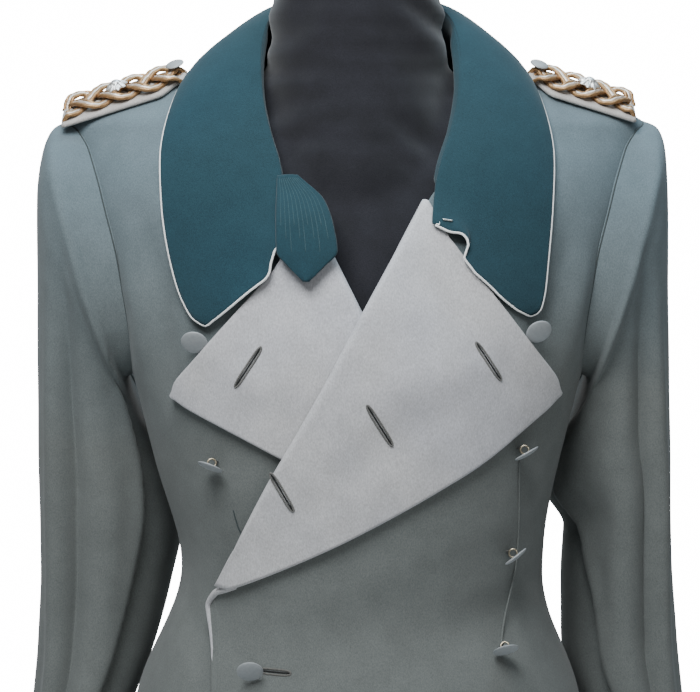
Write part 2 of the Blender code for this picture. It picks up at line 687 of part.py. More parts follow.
def collar():
    fall = whole_collar(fall_half("left"), fall_half("right"))
    stand = whole_collar(stand_half("left"), stand_half("right"))
    cloth("collar_fall", fall, COLLAR_CLOTH, "collar_cloth")
    cloth("collar_stand", stand, COLLAR_CLOTH, "collar_cloth")
    tube("collar_piping", piping_path(fall), PIPING_RADIUS, "piping")
    across = np.linspace(0, 1, TAB_COLUMNS)
    x = TAB_ROWS[:, 1:2] + (TAB_ROWS[:, 2:3] - TAB_ROWS[:, 1:2]) * across
    z = np.repeat(TAB_ROWS[:, :1], TAB_COLUMNS, axis=1)
    tucked = TAB_TUCK * smooth(z, TAB_ROWS[-1, 0] + 0.040, TAB_ROWS[0, 0]) * (1 - 0.35 * across)
    cloth("collar_tab", chest_point(x, z, TAB_LIFT - tucked), COLLAR_CLOTH, "collar_cloth")


# Buttons

def button_mesh(name, radius, thickness, shank):
    """A domed disc facing +Z with a shank behind it, its back at the origin."""
    profile = (
        (SHANK_RADIUS, -shank), (SHANK_RADIUS, 0), (radius * 0.94, 0), (radius, thickness * 0.35),
        (radius * 0.90, thickness * 0.75), (radius * 0.50, thickness),
    )
    turn = np.linspace(0, 2 * math.pi, BUTTON_SIDES, endpoint=False)
    rings = [
        np.column_stack([r * np.cos(turn), r * np.sin(turn), np.full(BUTTON_SIDES, z)])
        for r, z in profile
    ]
    return ring_solid(name, rings, "button")


def facing(way):
    """The turn that points +Z along a way, with +Y kept towards the front."""
    out = Vector(way).normalized()
    ahead = (Vector((0, -1, 0)) + out * out.y).normalized()
    return Matrix((ahead.cross(out), ahead, out)).transposed()


def buttons():
    for name, x, z, way in BUTTONS:
        made = button_mesh(name, BUTTON_RADIUS, BUTTON_THICKNESS, SHANK_LENGTH)
        on_left_front = name.startswith("button_left") or z < BREAK_Z
        lift = float(left_front_lift(np.array(x), np.array(z))) if on_left_front else 0.0
        start = chest_point(x, z, lift + WOOL / 2 + BUTTON_CLEAR)
        normal = Vector(chest_point(x, z, 1.0) - chest_point(x, z, 0.0)).normalized()
        face = facing(way)
        turned = [face @ v.co for v in made.data.vertices]
        nearest = min(p.dot(normal) for p in turned)
        made.matrix_world = Matrix.Translation(Vector(start) - normal * nearest) @ face.to_4x4()


# Shoulder boards

def board_up(side):
    c = BOARD_CORNERS[side]
    up = np.cross(c[3] - c[0], c[2] - c[1])
    return up / np.linalg.norm(up) * np.sign(up[2])


def board_point(side, along_share, across_share, lift):
    """A point on the slightly arched board: shares run armhole to collar and front to back."""
    shares = np.broadcast_arrays(along_share, across_share, lift)
    s, a, lift = (np.asarray(v, float)[..., None] for v in shares)
    c = BOARD_CORNERS[side]
    flat = (c[0] * (1 - a) + c[1] * a) * (1 - s) + (c[2] * (1 - a) + c[3] * a) * s
    return flat + board_up(side) * (lift + BOARD_ARCH * (1 - (2 * a - 1) ** 2))


def strand_rings(side, phase):
    """One flat strand of the three-strand plait, as rings of six points."""
    share = np.linspace(0.04, BOARD_END - 0.07, BRAID_STEPS)
    turn = 2 * math.pi * BRAID_PERIODS * share + phase
    swing = BRAID_SWING / np.linalg.norm(BOARD_CORNERS[side][1] - BOARD_CORNERS[side][0])
    across = 0.5 + swing * np.sin(turn)
    lift = BOARD_THICKNESS / 2 + BRAID_WAVE + BRAID_HEIGHT / 2 + SEAM
    centre = board_point(side, share, across, lift + BRAID_WAVE * np.sin(2 * turn))
    up = np.repeat(board_up(side)[None], BRAID_STEPS, axis=0)
    ahead = np.gradient(centre, axis=0)
    aside = np.cross(up, ahead)
    aside /= np.linalg.norm(aside, axis=1, keepdims=True)
    corners = ((1, 0), (0.6, 1), (-0.6, 1), (-1, 0), (-0.6, -1), (0.6, -1))
    return np.stack([
        centre + aside * BRAID_WIDTH / 2 * w + up * BRAID_HEIGHT / 2 * h for w, h in corners
    ], axis=1)


def pip_mesh(name, place, up):
    turn = np.linspace(0, 2 * math.pi, 2 * PIP_RAYS, endpoint=False)
    reach = np.where(np.arange(2 * PIP_RAYS) % 2 == 0, PIP_RADIUS, PIP_RADIUS * 0.72)
    rings = [
        np.column_stack([reach * k * np.cos(turn), reach * k * np.sin(turn), np.full(2 * PIP_RAYS, z)])
        for k, z in ((1.0, 0.0), (1.0, PIP_HEIGHT * 0.3), (0.25, PIP_HEIGHT))
    ]
    made = ring_solid(name, rings, "silver")
    made.matrix_world = Matrix.Translation(place) @ Vector(up).to_track_quat("Z", "Y").to_matrix().to_4x4()


def shoulder_boards():
    share, across = np.meshgrid(np.linspace(0, BOARD_END, 9), np.linspace(0, 1, 7), indexing="ij")
    narrowed = 0.5 + (across - 0.5) * (1 - 0.55 * smooth(share, 0.86, BOARD_END))
    top = BOARD_THICKNESS / 2 + 2 * BRAID_WAVE + BRAID_HEIGHT + 3 * SEAM
    for side, turned in (("left", np.array), ("right", mirrored)):
        base = board_point(side, share, narrowed, 0.0)
        cloth(f"board_{side}_base", turned(base), BOARD_THICKNESS, "board_cloth")
        for k in range(3):
            rings = strand_rings(side, 2 * math.pi * k / 3)
            ring_solid(f"board_{side}_strand_{k + 1}", [turned(r) for r in rings], "gold_braid")
        up = Vector(turned(board_up(side)))
        pip_mesh(f"board_{side}_pip", turned(board_point(side, 0.49, 0.44, top)), up)
        made = button_mesh(f"board_{side}_button", BOARD_BUTTON_RADIUS, BUTTON_THICKNESS, 0.0004)
        place = Vector(turned(board_point(side, BOARD_BUTTON_AT, 0.56, top + 0.0006)))
        made.matrix_world = Matrix.Translation(place) @ up.to_track_quat("Z", "Y").to_matrix().to_4x4()


clear_scene()
dress_form()
coat_body()
sleeves()
lapels()
collar()
buttons()
shoulder_boards()
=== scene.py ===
"""Looks for the officer's greatcoat on its dress form: fine cloth shells on the solids' own surfaces.

Metres, +Z up, the coat's front towards -Y and the wearer's left towards +X.
"""

import math
from functools import partial

import bmesh
import bpy
import numpy as np
from mathutils import Matrix, Vector


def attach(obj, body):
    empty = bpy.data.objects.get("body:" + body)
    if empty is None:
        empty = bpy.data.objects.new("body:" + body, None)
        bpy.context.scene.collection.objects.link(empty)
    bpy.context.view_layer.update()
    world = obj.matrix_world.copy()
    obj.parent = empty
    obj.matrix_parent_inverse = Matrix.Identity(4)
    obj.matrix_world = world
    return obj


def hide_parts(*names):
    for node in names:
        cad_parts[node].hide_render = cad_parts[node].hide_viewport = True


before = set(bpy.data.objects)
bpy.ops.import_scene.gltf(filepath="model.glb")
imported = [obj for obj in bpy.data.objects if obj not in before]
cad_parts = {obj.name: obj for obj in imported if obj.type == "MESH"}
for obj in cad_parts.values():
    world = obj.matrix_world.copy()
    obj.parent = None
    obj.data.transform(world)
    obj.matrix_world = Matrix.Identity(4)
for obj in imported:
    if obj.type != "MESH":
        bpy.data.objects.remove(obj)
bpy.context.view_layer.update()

# Driving sizes
HEM_Z = 0.340
NECK_Z = 1.474
ARMPIT_Z = 1.205
SHOULDER_Z = 1.421
WOOL = 0.0025
FACING = 0.0016
SEAM = 0.0003
LAYER = 0.0027
BREAK_Z = 1.030
COLLAR_CLOTH = 0.0022
PIPING_RADIUS = 0.0010
BUTTON_RADIUS = 0.0110
BUTTON_THICKNESS = 0.0026
SHANK_RADIUS = 0.0016
SHANK_LENGTH = 0.0052
FLUTES = 9
FLUTE_DEPTH_AT_HEM = 0.016
FLUTE_TOP_Z = 0.900

# The coat's level sections: height, half width, front depth, back depth, squareness
SECTIONS = np.array([
    (0.340, 0.300, 0.235, 0.250, 2.0),
    (0.600, 0.258, 0.198, 0.210, 2.1),
    (0.800, 0.219, 0.163, 0.172, 2.2),
    (0.930, 0.189, 0.143, 0.146, 2.3),
    (1.035, 0.1515, 0.121, 0.106, 2.3),
    (1.130, 0.174, 0.131, 0.113, 2.3),
    (1.220, 0.1955, 0.138, 0.126, 2.3),
    (1.310, 0.224, 0.124, 0.129, 2.2),
    (1.380, 0.243, 0.093, 0.122, 2.1),
    (1.415, 0.246, 0.068, 0.111, 2.0),
    (1.440, 0.184, 0.050, 0.100, 2.0),
    (1.460, 0.126, 0.038, 0.090, 2.0),
    (1.478, 0.086, 0.028, 0.080, 2.0),
])

# The armhole on the body surface: height, front angle, back angle, in degrees from the front
ARMHOLE = np.array([
    (1.205, 90.0, 90.0),
    (1.216, 78.0, 101.0),
    (1.235, 71.0, 108.0),
    (1.270, 65.0, 114.0),
    (1.320, 61.5, 117.0),
    (1.360, 62.0, 116.0),
    (1.395, 66.0, 110.0),
    (1.411, 73.0, 102.0),
    (1.421, 90.0, 90.0),
])

# Each front's inner edge: height, x of the left front, x of the right front towards its own side.
# It is the straight edge, then the roll line, then the neck seam
FRONT_EDGE = np.array([
    (0.340, -0.1200, -0.1200),
    (0.950, -0.1180, -0.1180),
    (1.030, -0.1180, -0.1180),
    (1.358, 0.0600, 0.0480),
    (1.370, 0.0690, 0.0660),
    (1.388, 0.0725, 0.0725),
    (1.4125, 0.0820, 0.0820),
    (1.441, 0.0880, 0.0880),
    (1.474, 0.0870, 0.0870),
])

# A sleeve's rings: outer x of the left and right sleeve, outer z, inner x of the left and right sleeve,
# inner z, half depth, centre y, lean of the inner side to the back
SLEEVE_RINGS = np.array([
    (0.2560, 0.2580, 1.4130, 0.2000, 0.2000, 1.1980, 0.0730, 0.004, 0.000),
    (0.2610, 0.2660, 1.3960, 0.1980, 0.1980, 1.1840, 0.0780, 0.006, 0.006),
    (0.2635, 0.2715, 1.3600, 0.1920, 0.1920, 1.1650, 0.0800, 0.018, 0.018),
    (0.2655, 0.2730, 1.3100, 0.1820, 0.1820, 1.1450, 0.0800, 0.030, 0.026),
    (0.2675, 0.2745, 1.2500, 0.1730, 0.1720, 1.1200, 0.0790, 0.040, 0.030),
    (0.2700, 0.2755, 1.1800, 0.1700, 0.1620, 1.0900, 0.0770, 0.046, 0.030),
    (0.2725, 0.2765, 1.1100, 0.1880, 0.1590, 1.0550, 0.0740, 0.050, 0.026),
    (0.2755, 0.2770, 1.0400, 0.1860, 0.1680, 1.0100, 0.0710, 0.054, 0.022),
    (0.2795, 0.2785, 0.9700, 0.1860, 0.1820, 0.9550, 0.0680, 0.056, 0.018),
    (0.2870, 0.2850, 0.9000, 0.2055, 0.2045, 0.8930, 0.0650, 0.050, 0.010),
    (0.2980, 0.2980, 0.8200, 0.2230, 0.2230, 0.8200, 0.0630, 0.042, 0.004),
])
SLEEVE_SQUARENESS = 2.3
# The sleeve's back seam in degrees round it, at the armhole and at the cuff
BACK_SEAM_DEG = (205.0, 244.0)

# The lapel in front view, x and z of the left one: the roll line's ends, the tips and the gorge
LAPEL_BREAK = (-0.1180, 1.0300)
LAPEL_ROLL_TOP = {"left": (0.0600, 1.3580), "right": (0.0480, 1.3580)}
LAPEL_TIP = {"left": (0.1700, 1.1965), "right": (0.1550, 1.1965)}
LAPEL_BOW = {"left": 0.008, "right": -0.012}
LAPEL_GORGE = {"left": (0.0705, 1.3290), "right": (0.0570, 1.3110)}
LAPEL_TIP_AT = 0.60
LAPEL_TIP_ROUND = 0.006
ROLL_AT_BREAK = 0.45

# Half the collar, front end to centre back: roll line x, y, z, then the fall's edge x, y, z on the body
COLLAR = np.array([
    (0.0620, -0.1245, 1.3400, 0.1375, -0.1085, 1.2605),
    (0.0612, -0.1130, 1.3570, 0.1440, -0.1060, 1.2640),
    (0.0610, -0.1060, 1.3680, 0.1480, -0.1025, 1.2780),
    (0.0640, -0.0960, 1.3870, 0.1510, -0.0975, 1.3050),
    (0.0720, -0.0800, 1.4120, 0.1550, -0.0875, 1.3480),
    (0.0790, -0.0580, 1.4430, 0.1570, -0.0710, 1.3880),
    (0.0810, -0.0320, 1.4750, 0.1500, -0.0460, 1.4290),
    (0.0765, -0.0020, 1.5030, 0.1350, -0.0020, 1.4580),
    (0.0660, 0.0330, 1.5170, 0.1160, 0.0480, 1.4590),
    (0.0480, 0.0610, 1.5240, 0.0850, 0.0840, 1.4490),
    (0.0250, 0.0760, 1.5270, 0.0440, 0.1010, 1.4360),
    (0.0000, 0.0810, 1.5280, 0.0000, 0.1060, 1.4290),
])
COLLAR_STATIONS = 17
COLLAR_RIDGE_STATION = 10
COLLAR_EDGE_LIFT = 0.0065
COLLAR_BULGE = 0.0130
RIGHT_TIP_SHIFT = (-0.018, -0.010, -0.007)
LEFT_ROLL_SHIFT = 0.0060
# How far the fall's front edge bows ahead of its run, from the roll line (0) to the tip (1)
FALL_FRONT = {
    "left": np.array([
        (0.00, 0.0000), (0.14, 0.0000), (0.25, 0.0010), (0.36, 0.0080), (0.50, 0.0130), (0.70, 0.0120),
        (0.88, 0.0075), (1.00, 0.0000),
    ]),
    "right": np.array([
        (0.00, 0.0030), (0.15, 0.0080), (0.30, 0.0170), (0.45, 0.0210), (0.60, 0.0180), (0.75, 0.0130),
        (0.88, 0.0072), (1.00, 0.0000),
    ]),
}
SLIDE_X = -0.72
SLIDE_Z = -0.69
FADE_AT_ROLL = 2.2
FADE_TO_TIP = -1.2
STAND_FIRST_STATION = 3
STAND_FIRST_Z = 1.376
STAND_SETBACK = 0.0045

# The throat tab in front view: height, inner x, outer x
TAB_ROWS = np.array([
    (1.371, -0.0640, -0.0480),
    (1.351, -0.0640, -0.0270),
    (1.331, -0.0635, -0.0195),
    (1.313, -0.0625, -0.0165),
    (1.302, -0.0540, -0.0260),
    (1.290, -0.0420, -0.0380),
])
TAB_LIFT = 0.0175
TAB_TUCK = 0.0066

# Buttons: name, x, z and the way the face looks. The row on the left front, then the one on the right
BUTTONS = (
    ("button_left_1", 0.1442, 1.2500, (0.273, -0.817, -0.507)),
    ("button_left_2", 0.1303, 1.1520, (0.494, -0.170, -0.853)),
    ("button_left_3", 0.1163, 1.0666, (0.611, -0.162, -0.774)),
    ("button_left_4", 0.1135, 0.9802, (0.196, -0.510, -0.837)),
    ("button_left_5", 0.1120, 0.8850, (0.250, -0.600, -0.760)),
    ("button_left_6", 0.1120, 0.7900, (0.300, -0.550, -0.780)),
    ("button_right_1", -0.1290, 1.2420, (-0.106, -0.840, -0.532)),
    ("button_right_2", -0.1150, 1.1409, (-0.349, -0.314, -0.883)),
    ("button_right_4", -0.0831, 0.9675, (0.000, -0.824, -0.567)),
    ("button_right_5", -0.0850, 0.8740, (0.030, -0.830, -0.550)),
    ("button_right_6", -0.0850, 0.7820, (-0.030, -0.840, -0.540)),
)
BUTTON_CLEAR = 0.0016

# Each shoulder board's corners, both given on the left: at the armhole, then at the collar, front before back
BOARD_CORNERS = {
    "left": np.array([
        (0.2340, -0.0316, 1.4199),
        (0.2336, 0.0120, 1.4390),
        (0.1530, -0.0290, 1.4450),
        (0.1500, 0.0120, 1.4650),
    ]),
    "right": np.array([
        (0.2480, -0.0320, 1.4155),
        (0.2480, 0.0120, 1.4345),
        (0.1530, -0.0290, 1.4450),
        (0.1500, 0.0120, 1.4650),
    ]),
}
BOARD_ARCH = 0.0020
BOARD_THICKNESS = 0.0042
BRAID_HEIGHT = 0.0028
BRAID_WAVE = 0.0025
BRAID_SWING = 0.0158
BRAID_PERIODS = 1.40
PIP_RADIUS = 0.0100
PIP_HEIGHT = 0.0045
BOARD_BUTTON_RADIUS = 0.0080
BOARD_BUTTON_AT = 1.00

# Dress form torso: height, half width, front depth, back depth, squareness
FORM_TORSO = np.array([
    (0.860, 0.128, 0.090, 0.090, 2.2),
    (0.950, 0.152, 0.112, 0.110, 2.2),
    (1.050, 0.140, 0.108, 0.094, 2.2),
    (1.130, 0.157, 0.118, 0.101, 2.2),
    (1.220, 0.182, 0.125, 0.114, 2.2),
    (1.310, 0.208, 0.110, 0.117, 2.1),
    (1.370, 0.221, 0.086, 0.109, 2.0),
    (1.400, 0.212, 0.064, 0.100, 2.0),
    (1.425, 0.176, 0.048, 0.090, 2.0),
    (1.445, 0.130, 0.038, 0.080, 2.0),
    (1.465, 0.070, 0.030, 0.066, 2.0),
])
# Dress form neck: height, half width, half depth, centre y
FORM_NECK = np.array([
    (1.290, 0.090, 0.080, -0.016),
    (1.370, 0.088, 0.080, -0.014),
    (1.420, 0.0785, 0.073, -0.010),
    (1.470, 0.0752, 0.066, -0.008),
    (1.510, 0.0732, 0.066, -0.006),
    (1.535, 0.0708, 0.066, -0.004),
    (1.552, 0.0692, 0.065, -0.004),
    (1.562, 0.0620, 0.058, -0.004),
    (1.566, 0.0450, 0.042, -0.004),
])
POLE_RADIUS = 0.0160
BASE_RADIUS = 0.2000
BASE_HEIGHT = 0.0240


# Interpolation

def eased(table, at):
    """A table's columns at the given first-column values, with no overshoot between rows."""
    at = np.clip(np.asarray(at, float), table[0, 0], table[-1, 0])
    step = np.diff(table, axis=0)
    slope = step / step[:, :1]
    product = slope[:-1] * slope[1:]
    total = np.where(product > 0, slope[:-1] + slope[1:], 1.0)
    tangent = np.vstack([slope[:1], np.where(product > 0, 2 * product / total, 0.0), slope[-1:]])
    row = np.clip(np.searchsorted(table[:, 0], at) - 1, 0, len(table) - 2)
    width = step[row, 0][..., None]
    t = (at - table[row, 0])[..., None] / width
    start = (1 + 2 * t) * (1 - t) ** 2 * table[row] + t * (1 - t) ** 2 * width * tangent[row]
    end = t * t * (3 - 2 * t) * table[row + 1] + t * t * (t - 1) * width * tangent[row + 1]
    return (start + end)[..., 1:]


def smooth(value, low, high):
    t = np.clip((value - low) / (high - low), 0, 1)
    return t * t * (3 - 2 * t)


def along(points, count):
    """Points read evenly from a smooth curve through the given rows."""
    rows = np.column_stack([np.arange(len(points)), points])
    return eased(rows, np.linspace(0, len(points) - 1, count))


# The body surface

def flute(angle, z):
    """The skirt's hanging folds: deepest at the hem and the back, none on the buttoned overlap."""
    depth = FLUTE_DEPTH_AT_HEM * smooth(-z, -FLUTE_TOP_Z, -HEM_Z)
    share = 0.15 + 0.85 * smooth(np.abs(angle), math.radians(45), math.radians(85))
    return depth * share * np.cos(FLUTES * angle + 0.5 * np.sin(2 * angle))


def bare_point(angle, z):
    half, front, back, square = np.moveaxis(eased(SECTIONS, z), -1, 0)
    sine, cosine = np.sin(angle), np.cos(angle)
    x = half * np.sign(sine) * np.abs(sine) ** (2 / square)
    y = np.where(cosine > 0, -front, back) * np.abs(cosine) ** (2 / square)
    out = flute(angle, z)
    return np.stack([x + out * sine, y - out * cosine, z], axis=-1)


def body_point(angle, z, lift=0.0):
    """A point on the body surface at an angle from the front, moved out by lift along the normal."""
    angle, z, lift = np.broadcast_arrays(np.asarray(angle, float), z, lift)
    small = 1e-3
    across = bare_point(angle + small, z) - bare_point(angle - small, z)
    high = np.minimum(z + small, SECTIONS[-1, 0])
    up = bare_point(angle, high) - bare_point(angle, high - 2 * small)
    normal = np.cross(across, up)
    normal /= np.linalg.norm(normal, axis=-1, keepdims=True)
    return bare_point(angle, z) + lift[..., None] * normal


def angle_at(x, z):
    """The angle on the front half at which the level section has this x."""
    half, _, _, square = np.moveaxis(eased(SECTIONS, z), -1, 0)
    share = np.clip(np.abs(x) / half, 0, 1) ** (square / 2)
    return np.sign(x) * np.arcsin(share)


def chest_point(x, z, lift=0.0):
    return body_point(angle_at(x, z), z, lift)


def front_edge(z, side):
    return np.interp(z, FRONT_EDGE[:, 0], FRONT_EDGE[:, 1 if side == "left" else 2])


def left_front_lift(x, z):
    """How far the left front stands off the body surface to clear the right front and its lapel."""
    over_front = WOOL + LAYER
    over_lapel = over_front + WOOL + FACING + 2 * SEAM + LAYER
    height = over_front + (over_lapel - over_front) * smooth(z, BREAK_Z - 0.05, BREAK_Z + 0.02)
    past_edge = x + front_edge(z, "right")
    return height * (1 - smooth(past_edge, 0.010, 0.110))


def no_lift(x, z):
    return np.zeros_like(x)


LIFT_OF = {"left": left_front_lift, "right": no_lift}


def mirrored(points):
    return points * np.array([-1.0, 1.0, 1.0])


# What is worked out on the left is kept for the left side and mirrored for the right
SIDES = (("left", np.array), ("right", mirrored))


# Materials

# The coat's cloth carries a painted bluish sky light from the first height upward, fading to its plain grey
# below the second
SKY_LIGHT_FULL_Z = 1.40
SKY_LIGHT_GONE_Z = 1.02
PATCH_SHARE = 0.8


def node(tree, kind, **values):
    made = tree.nodes.new(kind)
    for name, value in values.items():
        if hasattr(made, name):
            setattr(made, name, value)
        else:
            made.inputs[name.replace("_", " ").title()].default_value = value
    return made


def noise(tree, place, scale, detail=2.0, stretch=None):
    """A noise texture in object space, stretched along an axis where stretch is given."""
    source = place.outputs["Object"]
    if stretch:
        turned = node(tree, "ShaderNodeMapping")
        turned.inputs["Scale"].default_value = stretch
        tree.links.new(source, turned.inputs["Vector"])
        source = turned.outputs["Vector"]
    made = node(tree, "ShaderNodeTexNoise", scale=scale, detail=detail)
    tree.links.new(source, made.inputs["Vector"])
    return made.outputs["Fac"]


def ramp(tree, factor, low, high, start=0.3, end=0.7):
    made = node(tree, "ShaderNodeValToRGB")
    for stop, position, colour in zip(made.color_ramp.elements, (start, end), (low, high)):
        stop.position = position
        stop.color = (*colour, 1)
    tree.links.new(factor, made.inputs["Fac"])
    return made.outputs["Color"]


def multiplied(tree, first, second):
    made = node(tree, "ShaderNodeMix", data_type="RGBA", blend_type="MULTIPLY")
    made.inputs[0].default_value = 1.0
    tree.links.new(first, made.inputs[6])
    tree.links.new(second, made.inputs[7])
    return made.outputs[2]


def bumped(tree, height, strength, distance, under=None):
    made = node(tree, "ShaderNodeBump", strength=strength, distance=distance)
    tree.links.new(height, made.inputs["Height"])
    if under is not None:
        tree.links.new(under, made.inputs["Normal"])
    return made.outputs["Normal"]


def blank(name, roughness, metallic=0.0, sheen=0.0):
    """A new material, its node tree and the object coordinates that its textures are placed by."""
    made = bpy.data.materials.new(name)
    made.use_nodes = True
    tree = made.node_tree
    values = {
        "Roughness": roughness, "Metallic": metallic, "Sheen Weight": sheen, "Sheen Roughness": 0.5,
        "Specular IOR Level": 0.25,
    }
    for socket, value in values.items():
        tree.nodes["Principled BSDF"].inputs[socket].default_value = value
    return made, tree, node(tree, "ShaderNodeTexCoord")


def joined(tree, colour, normal=None):
    """Joins a colour, and a normal where there is one, to the tree's shader."""
    sockets = tree.nodes["Principled BSDF"].inputs
    tree.links.new(colour, sockets["Base Color"])
    if normal is not None:
        tree.links.new(normal, sockets["Normal"])


def painted_sky_light(tree, place, patches):
    """A factor that falls from the shoulders to the waist, with patchy borders from random tone drift: how
    far the painted bluish sky light reaches down the cloth.
    """
    split = node(tree, "ShaderNodeSeparateXYZ")
    tree.links.new(place.outputs["Object"], split.inputs["Vector"])
    fall = node(tree, "ShaderNodeMapRange", from_min=SKY_LIGHT_FULL_Z, from_max=SKY_LIGHT_GONE_Z)
    tree.links.new(split.outputs["Z"], fall.inputs["Value"])
    made = node(tree, "ShaderNodeMath", operation="MULTIPLY_ADD")
    tree.links.new(patches, made.inputs[0])
    made.inputs[1].default_value = PATCH_SHARE
    tree.links.new(fall.outputs["Result"], made.inputs[2])
    return made.outputs["Value"]


def wool(name, cool, warm, fibre=0.16, nap=1300.0, drift=2.4, sky_lit=False):
    """Milled wool: two close tints drifting over the garment, a mottled nap and short fibres."""
    made, tree, place = blank(name, 0.95, sheen=0.12)
    patches = noise(tree, place, drift, 2.0)
    # Tinted by height, the cool tint on the upper cloth is painted bluish sky light and the warm one below is
    # the cloth's plain grey; otherwise the two tints drift at random
    if sky_lit:
        tint = ramp(tree, painted_sky_light(tree, place, patches), cool, warm, 0.45, 1.25)
    else:
        tint = ramp(tree, patches, cool, warm, 0.38, 0.62)
    cloud = ramp(tree, noise(tree, place, 55.0, 4.0), (0.91,) * 3, (1.06,) * 3, 0.25, 0.75)
    fibres = noise(tree, place, nap, 3.0, (1.0, 1.0, 0.55))
    grain = ramp(tree, fibres, (1 - 2 * fibre,) * 3, (1 + 2 * fibre,) * 3, 0.25, 0.75)
    coarse = noise(tree, place, nap * 0.35, 2.0)
    normal = bumped(tree, fibres, 0.35, 0.0004, bumped(tree, coarse, 0.20, 0.0006))
    joined(tree, multiplied(tree, multiplied(tree, tint, cloud), grain), normal)
    return made


def jersey(name, dark, light):
    """Fine black stretch knit: wales and courses as a faint bump."""
    made, tree, place = blank(name, 0.88, sheen=0.25)
    cloud = ramp(tree, noise(tree, place, 30.0, 3.0), dark, light)
    knit = noise(tree, place, 900.0, 1.0, (1.0, 1.0, 2.2))
    grain = ramp(tree, knit, (0.75,) * 3, (1.25,) * 3)
    joined(tree, multiplied(tree, cloud, grain), bumped(tree, knit, 0.25, 0.0004))
    return made


def metal(name, dark, light, roughness, metallic, scale=400.0, bump=0.06):
    """Paint or bare metal: a faint cloud of tone and a finer unevenness."""
    made, tree, place = blank(name, roughness, metallic)
    cloud = ramp(tree, noise(tree, place, scale, 3.0), dark, light)
    joined(tree, cloud, bumped(tree, noise(tree, place, scale * 4, 2.0), bump, 0.0003))
    return made


def corded(name, dark, light, roughness, metallic):
    """Wound metallic thread: fine glints along a cord."""
    made, tree, place = blank(name, roughness, metallic)
    glint = noise(tree, place, 1600.0, 3.0)
    joined(tree, ramp(tree, glint, dark, light, 0.3, 0.68), bumped(tree, glint, 0.5, 0.0003))
    return made


MATERIAL = {
    # The coat wool's bluish upper cloth is painted sky light
    "wool": wool("coat_wool", (0.136, 0.180, 0.202), (0.154, 0.166, 0.160), fibre=0.11, sky_lit=True),
    # A darker copy of the coat wool: painted shadow along seam grooves
    "wool_seam_shadow": wool("coat_wool_shadow", (0.060, 0.075, 0.078), (0.055, 0.066, 0.064)),
    "facing": wool(
        "facing_wool", (0.525, 0.520, 0.548), (0.560, 0.548, 0.555), fibre=0.10, nap=900.0, drift=9.0,
    ),
    "collar": wool("collar_wool", (0.0138, 0.0500, 0.0705), (0.0170, 0.0480, 0.0615), fibre=0.15, nap=1500.0),
    "piping": wool("piping_twill", (0.93, 0.925, 0.91), (0.96, 0.955, 0.94), fibre=0.04, nap=2500.0),
    "hole": wool("buttonhole_thread", (0.150, 0.146, 0.138), (0.185, 0.180, 0.170), fibre=0.3, nap=2200.0),
    # Near black: painted shadow in a buttonhole's slit
    "slit": wool("buttonhole_slit_shadow", (0.016, 0.017, 0.017), (0.022, 0.022, 0.022)),
    "stitch": wool("tab_stitch", (0.034, 0.080, 0.096), (0.046, 0.092, 0.104), fibre=0.25, nap=2500.0),
    "thread": wool("sewing_thread", (0.10, 0.10, 0.095), (0.14, 0.135, 0.125), fibre=0.3, nap=2600.0),
    "board": wool("board_underlay", (0.45, 0.43, 0.41), (0.51, 0.48, 0.45), fibre=0.10, nap=1100.0),
    "button": metal("button_paint", (0.330, 0.350, 0.365), (0.380, 0.395, 0.405), 0.48, 0.10),
    "ring": metal("shank_wire", (0.32, 0.27, 0.20), (0.55, 0.48, 0.36), 0.35, 1.0, 900.0),
    "hook": metal("hook_wire", (0.60, 0.58, 0.54), (0.85, 0.82, 0.76), 0.30, 1.0, 900.0),
    "gold": corded("gold_cord", (0.19, 0.092, 0.040), (0.58, 0.36, 0.18), 0.40, 0.55),
    "silver": corded("silver_cord", (0.54, 0.45, 0.38), (0.95, 0.86, 0.77), 0.36, 0.50),
    "pip": metal("pip_metal", (0.78, 0.79, 0.78), (0.94, 0.94, 0.93), 0.38, 0.75, 700.0),
    "form": jersey("form_jersey", (0.0112, 0.0110, 0.0145), (0.0186, 0.0182, 0.0240)),
    "stand": metal("stand_paint", (0.012, 0.012, 0.013), (0.022, 0.022, 0.023), 0.42, 0.4, 160.0, 0.03),
}


# Pieces

# A way that no cord runs along, to set out its rings from, and the height of its end cones over its radius
TUBE_ASIDE = np.array([0.31, 0.17, 0.93])
CONE_HEIGHT = 0.6
# Keeps the level part of a vector
LEVEL = np.array([1.0, 1.0, 0.0])


def added(name, data):
    """A new object in the scene."""
    made = bpy.data.objects.new(name, data)
    bpy.context.scene.collection.objects.link(made)
    return made


def place(name, mesh, material_name, slot_name, nodes=()):
    """Adds a finished mesh as a piece that rides with the part."""
    mesh.materials.append(MATERIAL[material_name])
    mesh.shade_smooth()
    made = added(name, mesh)
    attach(made, "root")
    if nodes:
        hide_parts(*nodes)
    return made


def mesh_of(name, points, faces):
    mesh = bpy.data.meshes.new(name)
    mesh.from_pydata(np.asarray(points).reshape(-1, 3).tolist(), [], faces)
    shape = bmesh.new()
    shape.from_mesh(mesh)
    bmesh.ops.recalc_face_normals(shape, faces=shape.faces)
    shape.to_mesh(mesh)
    shape.free()
    return mesh


def unit(vectors):
    return vectors / np.maximum(np.linalg.norm(vectors, axis=-1, keepdims=True), 1e-12)


def normals(grid):
    return unit(np.cross(np.gradient(grid, axis=0), np.gradient(grid, axis=1)))


def rim_of(rows, columns):
    """The grid's boundary as row and column indices, once round."""
    top = [(0, c) for c in range(columns - 1)]
    right = [(r, columns - 1) for r in range(rows - 1)]
    bottom = [(rows - 1, c) for c in range(columns - 1, 0, -1)]
    left = [(r, 0) for r in range(rows - 1, 0, -1)]
    return np.array(top + right + bottom + left)


